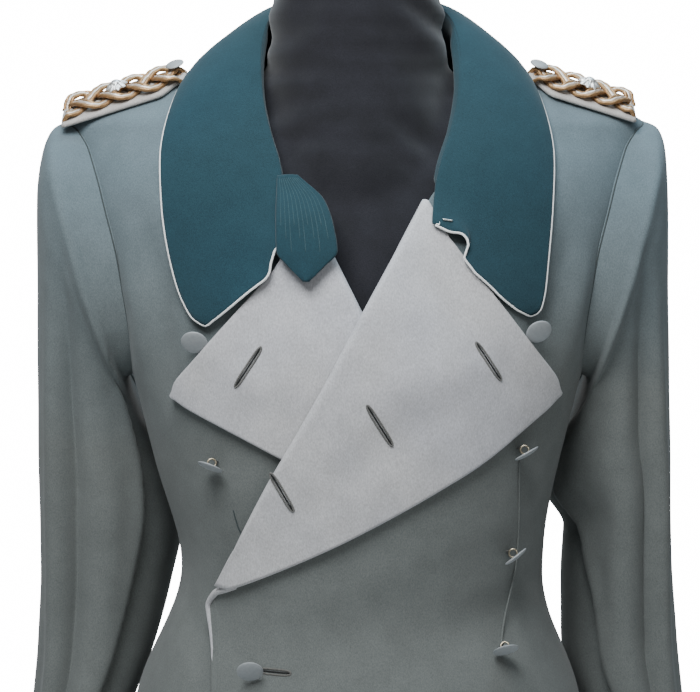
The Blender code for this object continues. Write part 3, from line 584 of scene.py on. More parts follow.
def shell_mesh(name, grid, thickness):
    """A closed wall of cloth about a grid, its rim rounded over."""
    rows, columns = grid.shape[:2]
    out = normals(grid) * thickness / 2
    rim = rim_of(rows, columns)
    r, c = rim[:, 0], rim[:, 1]
    within = grid[np.clip(r, 1, rows - 2), np.clip(c, 1, columns - 2)]
    edge = grid[r, c] + unit(grid[r, c] - within) * thickness * 0.45
    points = np.concatenate([(grid + out).reshape(-1, 3), (grid - out).reshape(-1, 3), edge])
    first = (np.arange(rows - 1)[:, None] * columns + np.arange(columns - 1)).reshape(-1)
    upper = np.column_stack([first, first + columns, first + columns + 1, first + 1])
    lower = upper[:, ::-1] + rows * columns
    on_upper = r * columns + c
    on_lower = on_upper + rows * columns
    middle = 2 * rows * columns + np.arange(len(rim))
    upper_rim = np.column_stack([on_upper, np.roll(on_upper, -1), np.roll(middle, -1), middle])
    lower_rim = np.column_stack([middle, np.roll(middle, -1), np.roll(on_lower, -1), on_lower])
    return mesh_of(name, points, np.concatenate([upper, lower, upper_rim, lower_rim]).tolist())


def full_turn(sides):
    return np.linspace(0, 2 * math.pi, sides, endpoint=False)


def level_ring(radius, z, turn):
    return np.column_stack([radius * np.cos(turn), radius * np.sin(turn), z * np.ones(len(turn))])


def circles(path, side, over, turn, radius):
    """Rings of points about a path, with a radius for each of its points."""
    ring = side[:, None] * np.cos(turn)[:, None] + over[:, None] * np.sin(turn)[:, None]
    return (path[:, None] + ring * radius[..., None]).reshape(-1, 3)


def ring_faces(rings, sides, start=0):
    """The quads between rings of points that follow each other in a mesh."""
    faces = []
    for low in range(start, start + (rings - 1) * sides, sides):
        high = low + sides
        faces += [(low + j, low + (j + 1) % sides, high + (j + 1) % sides, high + j) for j in range(sides)]
    return faces


def cone_faces(tips, rings, sides):
    """The triangles that close a mesh's first and last ring with a point each."""
    head = [(tips[0], rings[0] + (j + 1) % sides, rings[0] + j) for j in range(sides)]
    return head + [(tips[1], rings[1] + j, rings[1] + (j + 1) % sides) for j in range(sides)]


def cloth(name, grid, thickness, material_name, slot_name, nodes=None):
    """Adds a grid as a wall of cloth that stands for the solid of its name, or for the nodes given."""
    shell = shell_mesh(name, grid, thickness)
    return place(f"{name}_cloth", shell, material_name, slot_name, nodes or [name])


def tube_mesh(name, paths, radii, sides=8):
    """Round cords along paths, each closed at its ends by a small cone."""
    points, faces, start = [], [], 0
    for path, radius in zip(paths, radii):
        path = np.asarray(path, float)
        ahead = unit(np.gradient(path, axis=0))
        side = unit(np.cross(ahead, TUBE_ASIDE))
        for k in range(1, len(path)):
            side[k] = unit(side[k - 1] - ahead[k] * np.dot(side[k - 1], ahead[k]))
        radius = np.broadcast_to(np.asarray(radius, float), len(path))
        points.append(circles(path, side, np.cross(ahead, side), full_turn(sides), radius[:, None]))
        cone = ahead[[0, -1]] * radius[[0, -1], None] * CONE_HEIGHT
        points.append(path[[0, -1]] + cone * np.array([[-1], [1]]))
        tip = start + len(path) * sides
        faces += ring_faces(len(path), sides, start)
        faces += cone_faces((tip, tip + 1), (start, tip - sides), sides)
        start = tip + 2
    return mesh_of(name, np.concatenate(points), faces)


def tubes(name, paths, radii, material_name, slot_name, sides=8):
    place(name, tube_mesh(name, paths, radii, sides), material_name, slot_name)


def moved(points, to_world):
    matrix = np.array(to_world)
    return np.asarray(points) @ matrix[:3, :3].T + matrix[:3, 3]


def lathe_mesh(name, profile, sides, to_world):
    """A solid turned about Z from (radius, height) pairs that start and end on the axis."""
    rings = [level_ring(radius, z, full_turn(sides)) for radius, z in profile[1:-1]]
    tips = np.array([(0, 0, profile[0][1]), (0, 0, profile[-1][1])])
    count = len(rings) * sides
    faces = ring_faces(len(rings), sides) + cone_faces((count, count + 1), (0, count - sides), sides)
    return mesh_of(name, moved(np.concatenate(rings + [tips]), to_world), faces)


# Creases

def creases(u, v, table):
    """The height of soft troughs and ridges: rows of start, end, width and height in plan."""
    total = np.zeros_like(u)
    for u0, v0, u1, v1, width, height in table:
        run = np.array([u1 - u0, v1 - v0])
        length = np.linalg.norm(run)
        run = run / length
        ahead = (u - u0) * run[0] + (v - v0) * run[1]
        aside = (u - u0) * run[1] - (v - v0) * run[0]
        aside = aside + 0.18 * width * np.sin(ahead / length * 5.0 + 40 * u0)
        begun = smooth(ahead, -0.35 * length, 0.25 * length)
        ended = smooth(ahead, 0.75 * length, 1.35 * length)
        total += height * begun * (1 - ended) * np.exp(-(aside / width) ** 2)
    return total


def slackness(u, v, seed):
    """Uneven low swells of cloth that isn't stretched, a millimetre at most."""
    swell = np.sin(21 * u + 9 * v + seed) * np.sin(13 * v - 6 * u + 2 * seed)
    return 0.0005 * swell + 0.0003 * np.sin(47 * u - 29 * v + 3 * seed) * np.sin(37 * v + 1.7 * seed)


# Coat body

PANEL_Z = np.unique(np.concatenate([
    np.linspace(HEM_Z, 1.200, 92), np.linspace(1.200, 1.240, 14), np.linspace(1.240, 1.390, 36),
    np.linspace(1.390, 1.424, 14), np.linspace(1.424, NECK_Z, 14),
]))
EDGE_COLUMNS = 8
PANEL_COLUMNS = 66
BACK_FINE_COLUMNS = 54
# Creases in front or back view: from x, z to x, z, then width and height
LEFT_FRONT_CREASES = (
    (0.172, 1.330, 0.150, 1.215, 0.012, -0.0045),
    (0.190, 1.300, 0.176, 1.215, 0.010, 0.0035),
    (0.150, 1.140, 0.128, 0.990, 0.022, -0.0030),
    (-0.050, 1.020, 0.100, 1.090, 0.020, 0.0020),
    (0.060, 1.000, 0.150, 1.030, 0.016, -0.0022),
    (0.020, 0.930, 0.140, 0.985, 0.020, 0.0022),
)
RIGHT_FRONT_CREASES = (
    (-0.172, 1.330, -0.156, 1.215, 0.012, -0.0045),
    (-0.192, 1.300, -0.178, 1.210, 0.010, 0.0035),
    (-0.158, 1.150, -0.132, 1.010, 0.020, -0.0030),
    (-0.130, 1.060, -0.150, 0.960, 0.014, 0.0022),
    (-0.140, 1.010, -0.120, 0.930, 0.012, -0.0020),
)
BACK_CREASES = (
    (0.150, 1.330, 0.120, 1.190, 0.016, -0.0045),
    (-0.145, 1.325, -0.122, 1.200, 0.018, -0.0040),
    (0.020, 1.060, 0.140, 1.085, 0.016, -0.0030),
    (-0.130, 1.075, -0.010, 1.050, 0.014, -0.0028),
    (-0.120, 1.020, 0.060, 1.030, 0.018, 0.0025),
    (0.040, 1.005, 0.135, 0.985, 0.014, -0.0024),
    (-0.090, 1.400, 0.010, 1.385, 0.018, 0.0020),
)
# The left front's edge curves in by this at the break, and over this height above it
BREAK_EASE = 0.0075
BREAK_EASE_HEIGHT = 0.032
# Half the gap between panels at a seam, in radians
SEAM_ANGLE = 0.0010
BACK_SEAM_ANGLE = 0.0012


def break_ease(z):
    """How far the left front's edge curves in just above the lapel's break."""
    past = np.asarray(z, float) - BREAK_Z
    fade = np.exp(-(np.maximum(past, 0) / BREAK_EASE_HEIGHT) ** 2)
    return BREAK_EASE * fade * smooth(past, -0.016, 0.004)


def panel(start_angle, end_angle, lift_of, columns, table, seed, sign=1.0):
    """A panel's fine grid with its creases; sign -1 is for panels mirrored afterwards."""
    share = np.unique(np.concatenate([np.linspace(0, 0.03, EDGE_COLUMNS), np.linspace(0.03, 1, columns)]))
    angle = start_angle[:, None] + (end_angle - start_angle)[:, None] * share
    z = np.repeat(PANEL_Z[:, None], len(share), axis=1)
    x = bare_point(angle, z)[..., 0]
    free = smooth(share, 0.0, 0.10)[None, :] * (1 - 0.6 * smooth(share, 0.90, 1.0))[None, :]
    height = creases(x * sign, z, table) + slackness(x * sign, z, seed)
    return body_point(angle, z, lift_of(x, z) + height * free)


def coat_body():
    z = PANEL_Z
    on_armhole = (z > ARMPIT_Z) & (z < SHOULDER_Z)
    armhole = np.where(on_armhole[:, None], np.radians(eased(ARMHOLE, z)), math.pi / 2)
    outer = armhole[:, 0] - SEAM_ANGLE
    back_outer = armhole[:, 1] + SEAM_ANGLE
    left_edge = angle_at(front_edge(z, "left") + break_ease(z), z)
    right_edge = angle_at(front_edge(z, "right"), z)
    middle = np.full(len(z), math.pi - BACK_SEAM_ANGLE)
    left = panel(left_edge, outer, left_front_lift, PANEL_COLUMNS, LEFT_FRONT_CREASES, 1.0)
    right = mirrored(panel(right_edge, outer, no_lift, PANEL_COLUMNS, RIGHT_FRONT_CREASES, 2.3, -1.0))
    back_left = panel(back_outer, middle, no_lift, BACK_FINE_COLUMNS, BACK_CREASES, 4.1)
    back_right = mirrored(panel(back_outer, middle, no_lift, BACK_FINE_COLUMNS, BACK_CREASES, 5.6, -1.0))
    grids = {"front_left": left, "front_right": right, "back_left": back_left, "back_right": back_right}
    for name, grid in grids.items():
        made = cloth(name, grid, WOOL, "wool", "wool")


# Sleeves

SLEEVE_ROWS = 110
SLEEVE_AROUND = 156
# Half the gap at the back seam, in degrees round the sleeve
SLEEVE_SEAM_GAP = 0.3
# The row of the grid that the armhole's seam follows, and the seam's radius
SEAM_ROW = 1
ARMHOLE_SEAM = 0.0007
# The share of the sleeve's length over which its folds begin
FOLDS_FREE = 0.22
# The fold down the front of each hanging sleeve: height, then degrees round the sleeve and how strong it is
SLEEVE_FOLD = {
    "left": np.array([
        (0.820, 94.0, 0.5), (0.880, 101.0, 0.8), (0.935, 107.0, 1.0), (0.990, 113.0, 1.0),
        (1.045, 131.0, 1.0), (1.110, 152.0, 0.9), (1.160, 160.0, 0.2), (1.250, 162.0, 0.0),
    ]),
    "right": np.array([
        (0.820, 92.0, 0.5), (0.900, 100.0, 0.9), (0.955, 106.0, 1.0), (1.030, 114.0, 1.0),
        (1.100, 119.0, 1.0), (1.170, 122.0, 0.6), (1.230, 126.0, 0.1), (1.300, 128.0, 0.0),
    ]),
}
# The fold's height and width in degrees, ahead of its line and behind it
FOLD_RIDGE = 0.0045
FOLD_RIDGE_DEG = 11.0
FOLD_TROUGH = 0.0095
FOLD_TROUGH_DEG = 20.0
# How far the sleeve's first ring lies inside the armhole: below the body's surface, and sideways
RING_SUNK = 0.0004
RING_INSIDE = 0.0008
# Creases by degrees round the sleeve over the turn's scale, and height
TURN_SCALE = 700
SLEEVE_CREASES = {
    "left": (
        (0.100, 1.240, 0.094, 0.900, 0.017, -0.0125),
        (0.066, 1.240, 0.062, 0.900, 0.014, 0.0052),
        (0.134, 1.120, 0.128, 0.900, 0.016, 0.0046),
        (-0.060, 1.150, -0.170, 1.090, 0.016, -0.0040),
        (-0.050, 1.060, -0.160, 1.020, 0.014, -0.0032),
        (-0.120, 1.330, -0.130, 1.120, 0.022, 0.0035),
        (0.010, 1.000, 0.030, 0.880, 0.024, 0.0024),
    ),
    "right": (
        (0.100, 1.245, 0.100, 0.900, 0.017, -0.0130),
        (0.068, 1.240, 0.066, 0.900, 0.014, 0.0052),
        (0.134, 1.120, 0.132, 0.900, 0.016, 0.0046),
        (-0.070, 1.160, -0.166, 1.080, 0.015, -0.0042),
        (-0.060, 1.040, -0.170, 1.010, 0.014, -0.0030),
        (-0.116, 1.310, -0.136, 1.130, 0.024, 0.0032),
        (0.012, 0.990, 0.024, 0.880, 0.022, 0.0024),
    ),
}


def armhole_ring(turn):
    """The armhole's edge as the sleeve's first ring: turn 0 at the shoulder, a quarter turn at the front."""
    height = (1 + np.cos(turn)) / 2
    z = ARMHOLE[0, 0] + height * (ARMHOLE[-1, 0] - ARMHOLE[0, 0])
    angles = eased(ARMHOLE, z)
    angle = np.radians(np.where(np.sin(turn) >= 0, angles[:, 0], angles[:, 1]))
    return body_point(angle, z, -RING_SUNK) - np.array([RING_INSIDE, 0, 0])


def sleeve_ring(row, turn, side):
    outer_x, inner_x = (row[0], row[3]) if side == "left" else (row[1], row[4])
    outer_z = row[2]
    inner_z, depth, centre_y, lean = row[5:]
    power = 2 / SLEEVE_SQUARENESS
    along_width = np.sign(np.cos(turn)) * np.abs(np.cos(turn)) ** power
    along_depth = np.sign(np.sin(turn)) * np.abs(np.sin(turn)) ** power
    x = (outer_x + inner_x) / 2 + (outer_x - inner_x) / 2 * along_width
    y = centre_y - depth * along_depth - lean * along_width
    z = (outer_z + inner_z) / 2 + (outer_z - inner_z) / 2 * along_width
    return np.column_stack([x, y, z])


def hanging_fold(turn, z, side):
    """A rounded edge of cloth along the fold's line with a hollow behind it."""
    line, strength = np.moveaxis(eased(SLEEVE_FOLD[side], z), -1, 0)
    past = turn - line
    rising = np.exp(-(np.minimum(past, 0) / FOLD_RIDGE_DEG) ** 2) * (1 - smooth(past, -1.0, 3.5))
    sinking = np.exp(-(np.maximum(past - 4.0, 0) / FOLD_TROUGH_DEG) ** 2) * smooth(past, -1.0, 5.0)
    return strength * (FOLD_RIDGE * rising - FOLD_TROUGH * sinking)


def outward(grid):
    """The normals of a sleeve's grid, turned away from its middle line."""
    out = normals(grid)
    return out * np.sign(np.mean(np.sum(out * (grid - grid.mean(axis=1, keepdims=True)), axis=-1)))


def sleeve_grid(side):
    """A whole sleeve's fine grid from armhole to cuff, closed along its back seam, with its folds."""
    rings, turns = [], []
    for k in range(len(SLEEVE_RINGS) + 1):
        start = BACK_SEAM_DEG[0] + (BACK_SEAM_DEG[1] - BACK_SEAM_DEG[0]) * k / len(SLEEVE_RINGS) - 360
        turn = np.linspace(start + SLEEVE_SEAM_GAP, start + 360 - SLEEVE_SEAM_GAP, SLEEVE_AROUND)
        turns.append(turn)
        turn = np.radians(turn)
        rings.append(sleeve_ring(SLEEVE_RINGS[k - 1], turn, side) if k else armhole_ring(turn))
    grid = along(np.array(rings).reshape(len(rings), -1), SLEEVE_ROWS).reshape(SLEEVE_ROWS, SLEEVE_AROUND, 3)
    turn = along(np.array(turns), SLEEVE_ROWS)
    z = grid[..., 2]
    height = creases(turn / TURN_SCALE, z, SLEEVE_CREASES[side]) + hanging_fold(turn, z, side)
    height = height + slackness(turn / TURN_SCALE * 2, z, 3.0)
    free = smooth(np.linspace(0, 1, SLEEVE_ROWS), 0.0, FOLDS_FREE)[:, None]
    return grid + outward(grid) * (height * free)[..., None]


def armhole_seam(name, grid, turned):
    """The line where the sleeve is sewn into the armhole, in painted seam shadow."""
    path = grid[SEAM_ROW] + outward(grid)[SEAM_ROW] * (WOOL / 2)
    tubes(f"{name}_seam", [turned(path)], [ARMHOLE_SEAM], "wool_seam_shadow", "wool", 6)


def sleeves():
    for side, turned in SIDES:
        name = f"sleeve_{side}"
        grid = sleeve_grid(side)
        made = cloth(name, turned(grid), WOOL, "wool", "wool", [f"{name}_upper", f"{name}_under"])
        armhole_seam(name, grid, turned)


# Lapels

LAPEL_FINE_COLUMNS = 56
# Shares of the lapel's length from the break to the gorge, closer together at the tip
LAPEL_SHARES = np.unique(np.concatenate([
    np.linspace(0.022, 0.55, 42), np.linspace(0.55, 0.65, 22), np.linspace(0.65, 0.985, 24),
]))
# How far the roll's line moves inward at the break
ROLL_SETBACK = 0.0045
LAPEL_CREASES = {
    "left": (
        (0.020, 1.200, 0.110, 1.235, 0.020, 0.0020),
        (-0.040, 1.110, 0.060, 1.190, 0.016, -0.0014),
        (0.060, 1.290, 0.120, 1.215, 0.014, -0.0016),
    ),
    "right": (
        (0.060, 1.200, 0.120, 1.235, 0.018, 0.0018),
        (0.050, 1.290, 0.110, 1.215, 0.014, -0.0016),
        (-0.040, 1.120, 0.050, 1.180, 0.016, -0.0012),
    ),
}


def lapel_outline(share, side):
    """The lapel's outer edge in front view, from the break up to the tip and back to the gorge."""
    start, tip, gorge = (np.array(p) for p in (LAPEL_BREAK, LAPEL_TIP[side], LAPEL_GORGE[side]))
    low = np.clip(share / LAPEL_TIP_AT, 0, 1)[:, None]
    high = np.clip((share - LAPEL_TIP_AT) / (1 - LAPEL_TIP_AT), 0, 1)[:, None]
    edge = start + (tip - start) * low + (gorge - tip) * high
    edge -= np.array([0, LAPEL_BOW[side]]) * np.sin(math.pi * low)
    toward = (start + gorge) / 2 - tip
    near = np.exp(-((share - LAPEL_TIP_AT) / 0.03) ** 2)[:, None]
    return edge + toward / np.linalg.norm(toward) * LAPEL_TIP_ROUND * near


def lapel_height(x, z, side):
    return creases(x, z, LAPEL_CREASES[side]) + slackness(x, z, 7.0)


def lapel_face(side, lift_of):
    """The facing's fine grid: round the roll, over the lapel and round its outer edge."""
    cloth_lift = WOOL + LAYER
    face_lift = cloth_lift + (WOOL + FACING) / 2
    centre = cloth_lift / 2
    radius = face_lift - centre
    share = LAPEL_SHARES
    low, top = np.array(LAPEL_BREAK), np.array(LAPEL_ROLL_TOP[side])
    start = low + (top - low) * share[:, None]
    end = lapel_outline(share, side)
    if side == "left":
        start = start + break_ease(start[:, 1])[:, None] * np.array([1.0, 0.2])
        end = end + np.exp(-(share / 0.085) ** 2)[:, None] * np.array([BREAK_EASE, 0.2 * BREAK_EASE])
    reach = np.linalg.norm(end - start, axis=1, keepdims=True)
    ahead = (end - start) / np.maximum(reach, 1e-6)
    run = unit(top - low)
    out = np.array([-run[1], run[0]])
    roll_turn = np.radians(np.linspace(-60, 90, 9, endpoint=False))
    edge_radius = radius * 0.62
    edge_turn = np.radians(np.linspace(90, -70, 9)[1:])
    across = np.linspace(0, 1, LAPEL_FINE_COLUMNS)
    plan = start[:, None] + (end - start)[:, None] * across[None, :, None]
    fullness = ROLL_AT_BREAK + (1 - ROLL_AT_BREAK) * smooth(share, 0, 0.4)
    start = start - out * (ROLL_SETBACK * (1 - smooth(share, 0.0, 0.30)))[:, None]
    roll_plan = start[:, None] + out * (fullness[:, None] * radius * np.cos(roll_turn))[..., None]
    edge_plan = end[:, None] + ahead[:, None] * (edge_radius * np.cos(edge_turn))[None, :, None]
    full = np.concatenate([roll_plan, plan, edge_plan], axis=1)
    rise = np.concatenate([
        centre + radius * np.sin(roll_turn), np.full(LAPEL_FINE_COLUMNS, face_lift),
        face_lift - edge_radius + edge_radius * np.sin(edge_turn),
    ])
    x, z = full[..., 0], full[..., 1]
    free = np.concatenate([np.zeros(len(roll_turn)), smooth(across, 0, 0.2), np.ones(len(edge_turn))])
    height = lapel_height(x, z, side) * free
    return chest_point(x, z, lift_of(x, z) + rise + height), start, end, cloth_lift


def lapels():
    for side, turned in SIDES:
        lift_of = LIFT_OF[side]
        face, start, end, cloth_lift = lapel_face(side, lift_of)
        name = f"lapel_{side}_facing"
        made = cloth(name, turned(face), FACING, "facing", "facing_cloth")
        across = np.linspace(0, 0.985, 30)[None, :, None]
        plan = start[:, None] + (end - start)[:, None] * across
        x, z = plan[..., 0], plan[..., 1]
        dip = lapel_height(x, z, side) * smooth(across[..., 0], 0, 0.2)
        under = chest_point(x, z, lift_of(x, z) + cloth_lift + np.minimum(dip, 0) - 0.0004)
        name = f"lapel_{side}"
        made = cloth(name, turned(under), WOOL, "wool", "wool")


# Collar

STATIONS = 72
FALL_COLUMNS = 44
STAND_FINE_COLUMNS = 14
# The collar's outward direction is tipped up by this, and its tip's shift fades over these stations
COLLAR_LEAN = np.array([0.0, 0.0, 0.09])
TIP_SHIFT_STATIONS = 6
# The fall's curve: shares of its width at which it is drawn out from the roll line and from its edge, and
# the shares by which it leans out and rises behind the neck, between two stations
FALL_FIRST = 0.30
FALL_SECOND = 0.35
FALL_LEAN = 0.22
FALL_RISE = 0.05
NECK_STATIONS = (4, 11)
# The stand's depth of bow, how far its seam lies below the neck's edge and how far inside it at the back
STAND_BOW = 0.003
STAND_BELOW = 0.002
STAND_WITHIN = np.array([0.93, 0.93, 1])
# The tab's fine grid, the crown across it, how tall its straight end is, and its stitching
TAB_FINE_ROWS = 44
TAB_FINE_COLUMNS = 26
TAB_CROWN = 0.0015
TAB_END = 0.040
STITCH_RADIUS = 0.00028
# The small kinks along the fall's front edge, from the roll line to the tip
KINK = {
    "left": np.array([
        (0.00, 0.001), (0.12, 0.000), (0.22, -0.005), (0.29, -0.004), (0.35, 0.003), (0.45, 0.001),
        (0.65, 0.000), (1.00, 0.000),
    ]),
    "right": np.array([
        (0.00, 0.008), (0.10, 0.008), (0.20, 0.003), (0.28, 0.002), (0.36, 0.004), (0.50, 0.001),
        (0.70, 0.000), (1.00, 0.000),
    ]),
}
# Stations over which the kinks fade
KINK_FADE = 0.9
# How far from the tip its rounding starts, and how far it is drawn out as a share of that
TIP_ROUND = 0.0068
TIP_REACH = 0.34


def collar_half(side, count):
    """Roll line, fall edge, outward direction and station for half the collar, front end to centre back."""
    rows = along(COLLAR, count)
    station = np.linspace(0, COLLAR_STATIONS - 1, count)
    roll, edge = rows[:, :3], rows[:, 3:]
    if side == "left":
        bow = np.sin(np.linspace(0, math.pi, count))[:, None]
        roll = roll + np.array([LEFT_ROLL_SHIFT, 0, 0]) * bow
    else:
        edge = edge + np.array(RIGHT_TIP_SHIFT) * (1 - smooth(station, 0, TIP_SHIFT_STATIONS))[:, None]
    out = unit(edge * LEVEL + COLLAR_LEAN)
    return roll, edge + out * COLLAR_EDGE_LIFT, out, station


def fall_half(side):
    """Half the fall's fine grid, from the roll line over the shoulder and chest to its edge."""
    roll, edge, out, station = collar_half(side, STATIONS)
    reach = np.linalg.norm(edge - roll, axis=1, keepdims=True)
    flat = unit((edge - roll) * LEVEL)
    behind = smooth(station, *NECK_STATIONS)[:, None]
    over = flat * FALL_LEAN + np.array([0, 0, FALL_RISE])
    ahead = roll + (edge - roll) * FALL_FIRST + out * COLLAR_BULGE
    first = ahead * (1 - behind) + (roll + over * reach) * behind
    second = edge + (roll - edge) * FALL_SECOND + out * COLLAR_BULGE
    t = np.linspace(0, 1, FALL_COLUMNS)
    weights = ((1 - t) ** 3, 3 * t * (1 - t) ** 2, 3 * t * t * (1 - t), t ** 3)
    grid = sum(w[:, None] * p[:, None] for w, p in zip(weights, (roll, first, second, edge)))
    fade = FADE_AT_ROLL + FADE_TO_TIP * t
    bow = eased(FALL_FRONT[side], t)[:, 0] * np.exp(-(station[:, None] / fade) ** 2)
    kink = eased(KINK[side], t)[:, 0] * np.exp(-(station / KINK_FADE) ** 2)[:, None]
    return rounded_tip(slid(grid, bow + kink))


def rounded_tip(grid):
    """The fall's grid with its pointed corner drawn out a little and rounded off."""
    corner = grid[0, -1]
    ways = np.stack([unit(grid[0, -7] - corner), unit(grid[5, -1] - corner)], axis=-1)
    apart = grid - corner
    share = 1 - (apart @ np.linalg.pinv(ways).T) / TIP_ROUND
    near = np.linalg.norm(apart, axis=-1) < 3 * TIP_ROUND
    share = np.clip(share, 0, 1) * near[..., None]
    u, v = share[..., 0], share[..., 1]
    inward = np.stack([u - u * np.sqrt(1 - v * v / 2), v - v * np.sqrt(1 - u * u / 2)], axis=-1)
    return grid + ((inward - TIP_REACH * (u * v)[..., None]) * TIP_ROUND) @ ways.T


def slid(grid, distance):
    """Points of the left half moved over the chest, down and towards the middle."""
    x, z = grid[..., 0], grid[..., 2]
    moved_to = chest_point(x + SLIDE_X * distance, z + SLIDE_Z * distance)
    return grid + moved_to - chest_point(x, z)


def stand_half(side):
    """The stand inside the fall, from just within the neck seam up to the roll line."""
    roll, _, _, station = collar_half(side, STATIONS)
    keep = station >= STAND_FIRST_STATION
    roll, station = roll[keep], station[keep]
    ahead = np.clip((station - STAND_FIRST_STATION) / (COLLAR_RIDGE_STATION - STAND_FIRST_STATION), 0, 1)
    z = STAND_FIRST_Z + (NECK_Z - STAND_BELOW - STAND_FIRST_Z) * ahead
    at_front = chest_point(front_edge(z, side) - STAND_SETBACK, z, 0.001)
    past = np.clip((station - COLLAR_RIDGE_STATION) / (COLLAR_STATIONS - 1 - COLLAR_RIDGE_STATION), 0, 1)
    at_back = body_point(math.pi / 2 * (1 + past), np.full(len(station), NECK_Z)) * STAND_WITHIN
    seam = np.where((station <= COLLAR_RIDGE_STATION)[:, None], at_front, at_back)
    t = np.linspace(0, 1, STAND_FINE_COLUMNS)[None, :, None]
    bow = unit(roll * LEVEL)[:, None] * STAND_BOW * np.sin(math.pi * t)
    return seam[:, None] * (1 - t) + (roll - np.array([0, 0, 0.0008]))[:, None] * t - bow


def whole_collar(left, right):
    return np.concatenate([left, mirrored(right[-2::-1])])


def piping_path(fall):
    """The fall's free edge, moved out by the piping's radius: front edge, outer edge, front edge."""
    edge = np.concatenate([fall[0, 1:], fall[1:-1, -1], fall[-1, :0:-1]])
    normal = normals(fall)
    normal = np.concatenate([normal[0, 1:], normal[1:-1, -1], normal[-1, :0:-1]])
    middle = FALL_COLUMNS // 2
    ends = [np.repeat(fall[k:k + 1, middle], FALL_COLUMNS - 1, axis=0) for k in (14, len(fall) - 15)]
    within = np.concatenate([ends[0], fall[1:-1, middle], ends[1]])
    off = unit(np.cross(np.gradient(edge, axis=0), normal))
    off = off * np.sign(np.sum(off * (edge - within), axis=1, keepdims=True))
    return edge + off * PIPING_RADIUS * 0.9


def collar():
    fall = whole_collar(fall_half("left"), fall_half("right"))
    span = np.linspace(-1, 1, len(fall))[:, None] + 0 * fall[..., 0]
    depth = np.linspace(0, 1, fall.shape[1])[None, :] + 0 * fall[..., 0]
    ripple = slackness(span * 0.3, depth * 0.1, 2.0)
    fall = fall + normals(fall) * ripple[..., None]
    stand = whole_collar(stand_half("left"), stand_half("right"))
    cord = tube_mesh("collar_piping", [piping_path(fall)], [PIPING_RADIUS], 10)
    cord = place("collar_piping_cord", cord, "piping", "piping", ["collar_piping"])
    made = cloth("collar_fall", fall, COLLAR_CLOTH, "collar", "collar_cloth")
    made = cloth("collar_stand", stand, COLLAR_CLOTH, "collar", "collar_cloth")
    throat_tab()


def throat_tab():
    """The tab hanging at the throat, with rows of stitching down its length."""
    low, high = TAB_ROWS[-1, 0], TAB_ROWS[0, 0]
    z = np.linspace(low, high, TAB_FINE_ROWS)
    ends = eased(TAB_ROWS[::-1], z)
    across = np.linspace(0, 1, TAB_FINE_COLUMNS)
    x = ends[:, :1] + (ends[:, 1:] - ends[:, :1]) * across
    tall = np.repeat(z[:, None], TAB_FINE_COLUMNS, axis=1)
    hang = TAB_LIFT - TAB_TUCK * smooth(tall, low + TAB_END, high) * (1 - 0.35 * across)
    grid = chest_point(x, tall, hang + TAB_CROWN * np.sin(math.pi * across)[None, :])
    made = cloth("collar_tab", grid, COLLAR_CLOTH, "collar", "collar_cloth")
    front = np.array([0, -1.0, 0]) * COLLAR_CLOTH * 0.52
    lines = [grid[12 + 5 * (k % 3):-1, k] + front for k in range(2, TAB_FINE_COLUMNS - 2, 2)]
    tubes("collar_tab_stitching", lines, [STITCH_RADIUS] * len(lines), "stitch", "collar_cloth", 5)


# Buttons

RING_RADIUS = 0.0034
RING_WIRE = 0.0008
THREAD_RADIUS = 0.0006
THREADS_APART = 0.0010
# A domed button's outline in shares of its radius and thickness
BUTTON_PROFILE = (
    (0.0, 0.0), (0.86, 0.0), (0.95, 0.06), (1.0, 0.22), (0.99, 0.40), (0.94, 0.58), (0.84, 0.76),
    (0.70, 0.92), (0.50, 1.07), (0.28, 1.16), (0.0, 1.20),
)


def button_mesh(name, radius, sides, to_world):
    profile = [(r * radius, h * BUTTON_THICKNESS) for r, h in BUTTON_PROFILE]
    return lathe_mesh(name, profile, sides, to_world)


def ring_path(sides=28):
    """The shank's wire ring below the button's face, upright in its own XZ plane."""
    turn = np.linspace(0, 2 * math.pi, sides)
    upright = np.column_stack([np.cos(turn), np.zeros(sides), np.sin(turn)])
    return RING_RADIUS * upright - np.array([0, 0, RING_RADIUS * 0.8])


def facing(way):
    """The turn that points +Z along a way, with +Y kept towards the front."""
    out = Vector(way).normalized()
    ahead = (Vector((0, -1, 0)) + out * out.y).normalized()
    return Matrix((ahead.cross(out), ahead, out)).transposed()


def button_place(name, x, z, way):
    """The button's matrix and the point where its thread enters the cloth."""
    on_left_front = name.startswith("button_left") or z < BREAK_Z
    lift = float(left_front_lift(np.array(x), np.array(z))) if on_left_front else 0.0
    start = Vector(chest_point(x, z, lift + WOOL / 2 + BUTTON_CLEAR))
    normal = Vector(chest_point(x, z, 1.0) - chest_point(x, z, 0.0)).normalized()
    face = facing(way)
    turn = np.linspace(0, 2 * math.pi, 40)
    rims = (
        (SHANK_RADIUS, -SHANK_LENGTH), (BUTTON_RADIUS * 0.94, 0.0), (BUTTON_RADIUS, BUTTON_THICKNESS * 0.35),
    )
    points = [Vector((r * math.cos(a), r * math.sin(a), h)) for r, h in rims for a in turn]
    nearest = min((face @ p).dot(normal) for p in points)
    matrix = Matrix.Translation(start - normal * nearest) @ face.to_4x4()
    return matrix, start - normal * (WOOL / 2 + BUTTON_CLEAR)


def buttons():
    for name, x, z, way in BUTTONS:
        matrix, root = button_place(name, x, z, way)
        place(f"{name}_disc", button_mesh(name, BUTTON_RADIUS, 44, matrix), "button", "button", [name])
        tubes(f"{name}_shank", [moved(ring_path(), matrix)], [RING_WIRE], "ring", "button")
        hold = moved((0, 0, -RING_RADIUS * 1.7), matrix)
        ends = [np.array(root) + np.array([aside, 0, 0]) for aside in (THREADS_APART, -THREADS_APART)]
        strands = [np.linspace(hold, end, 6) for end in ends]
        tubes(f"{name}_thread", strands, [THREAD_RADIUS] * 2, "thread", "button", 6)


# Buttonholes

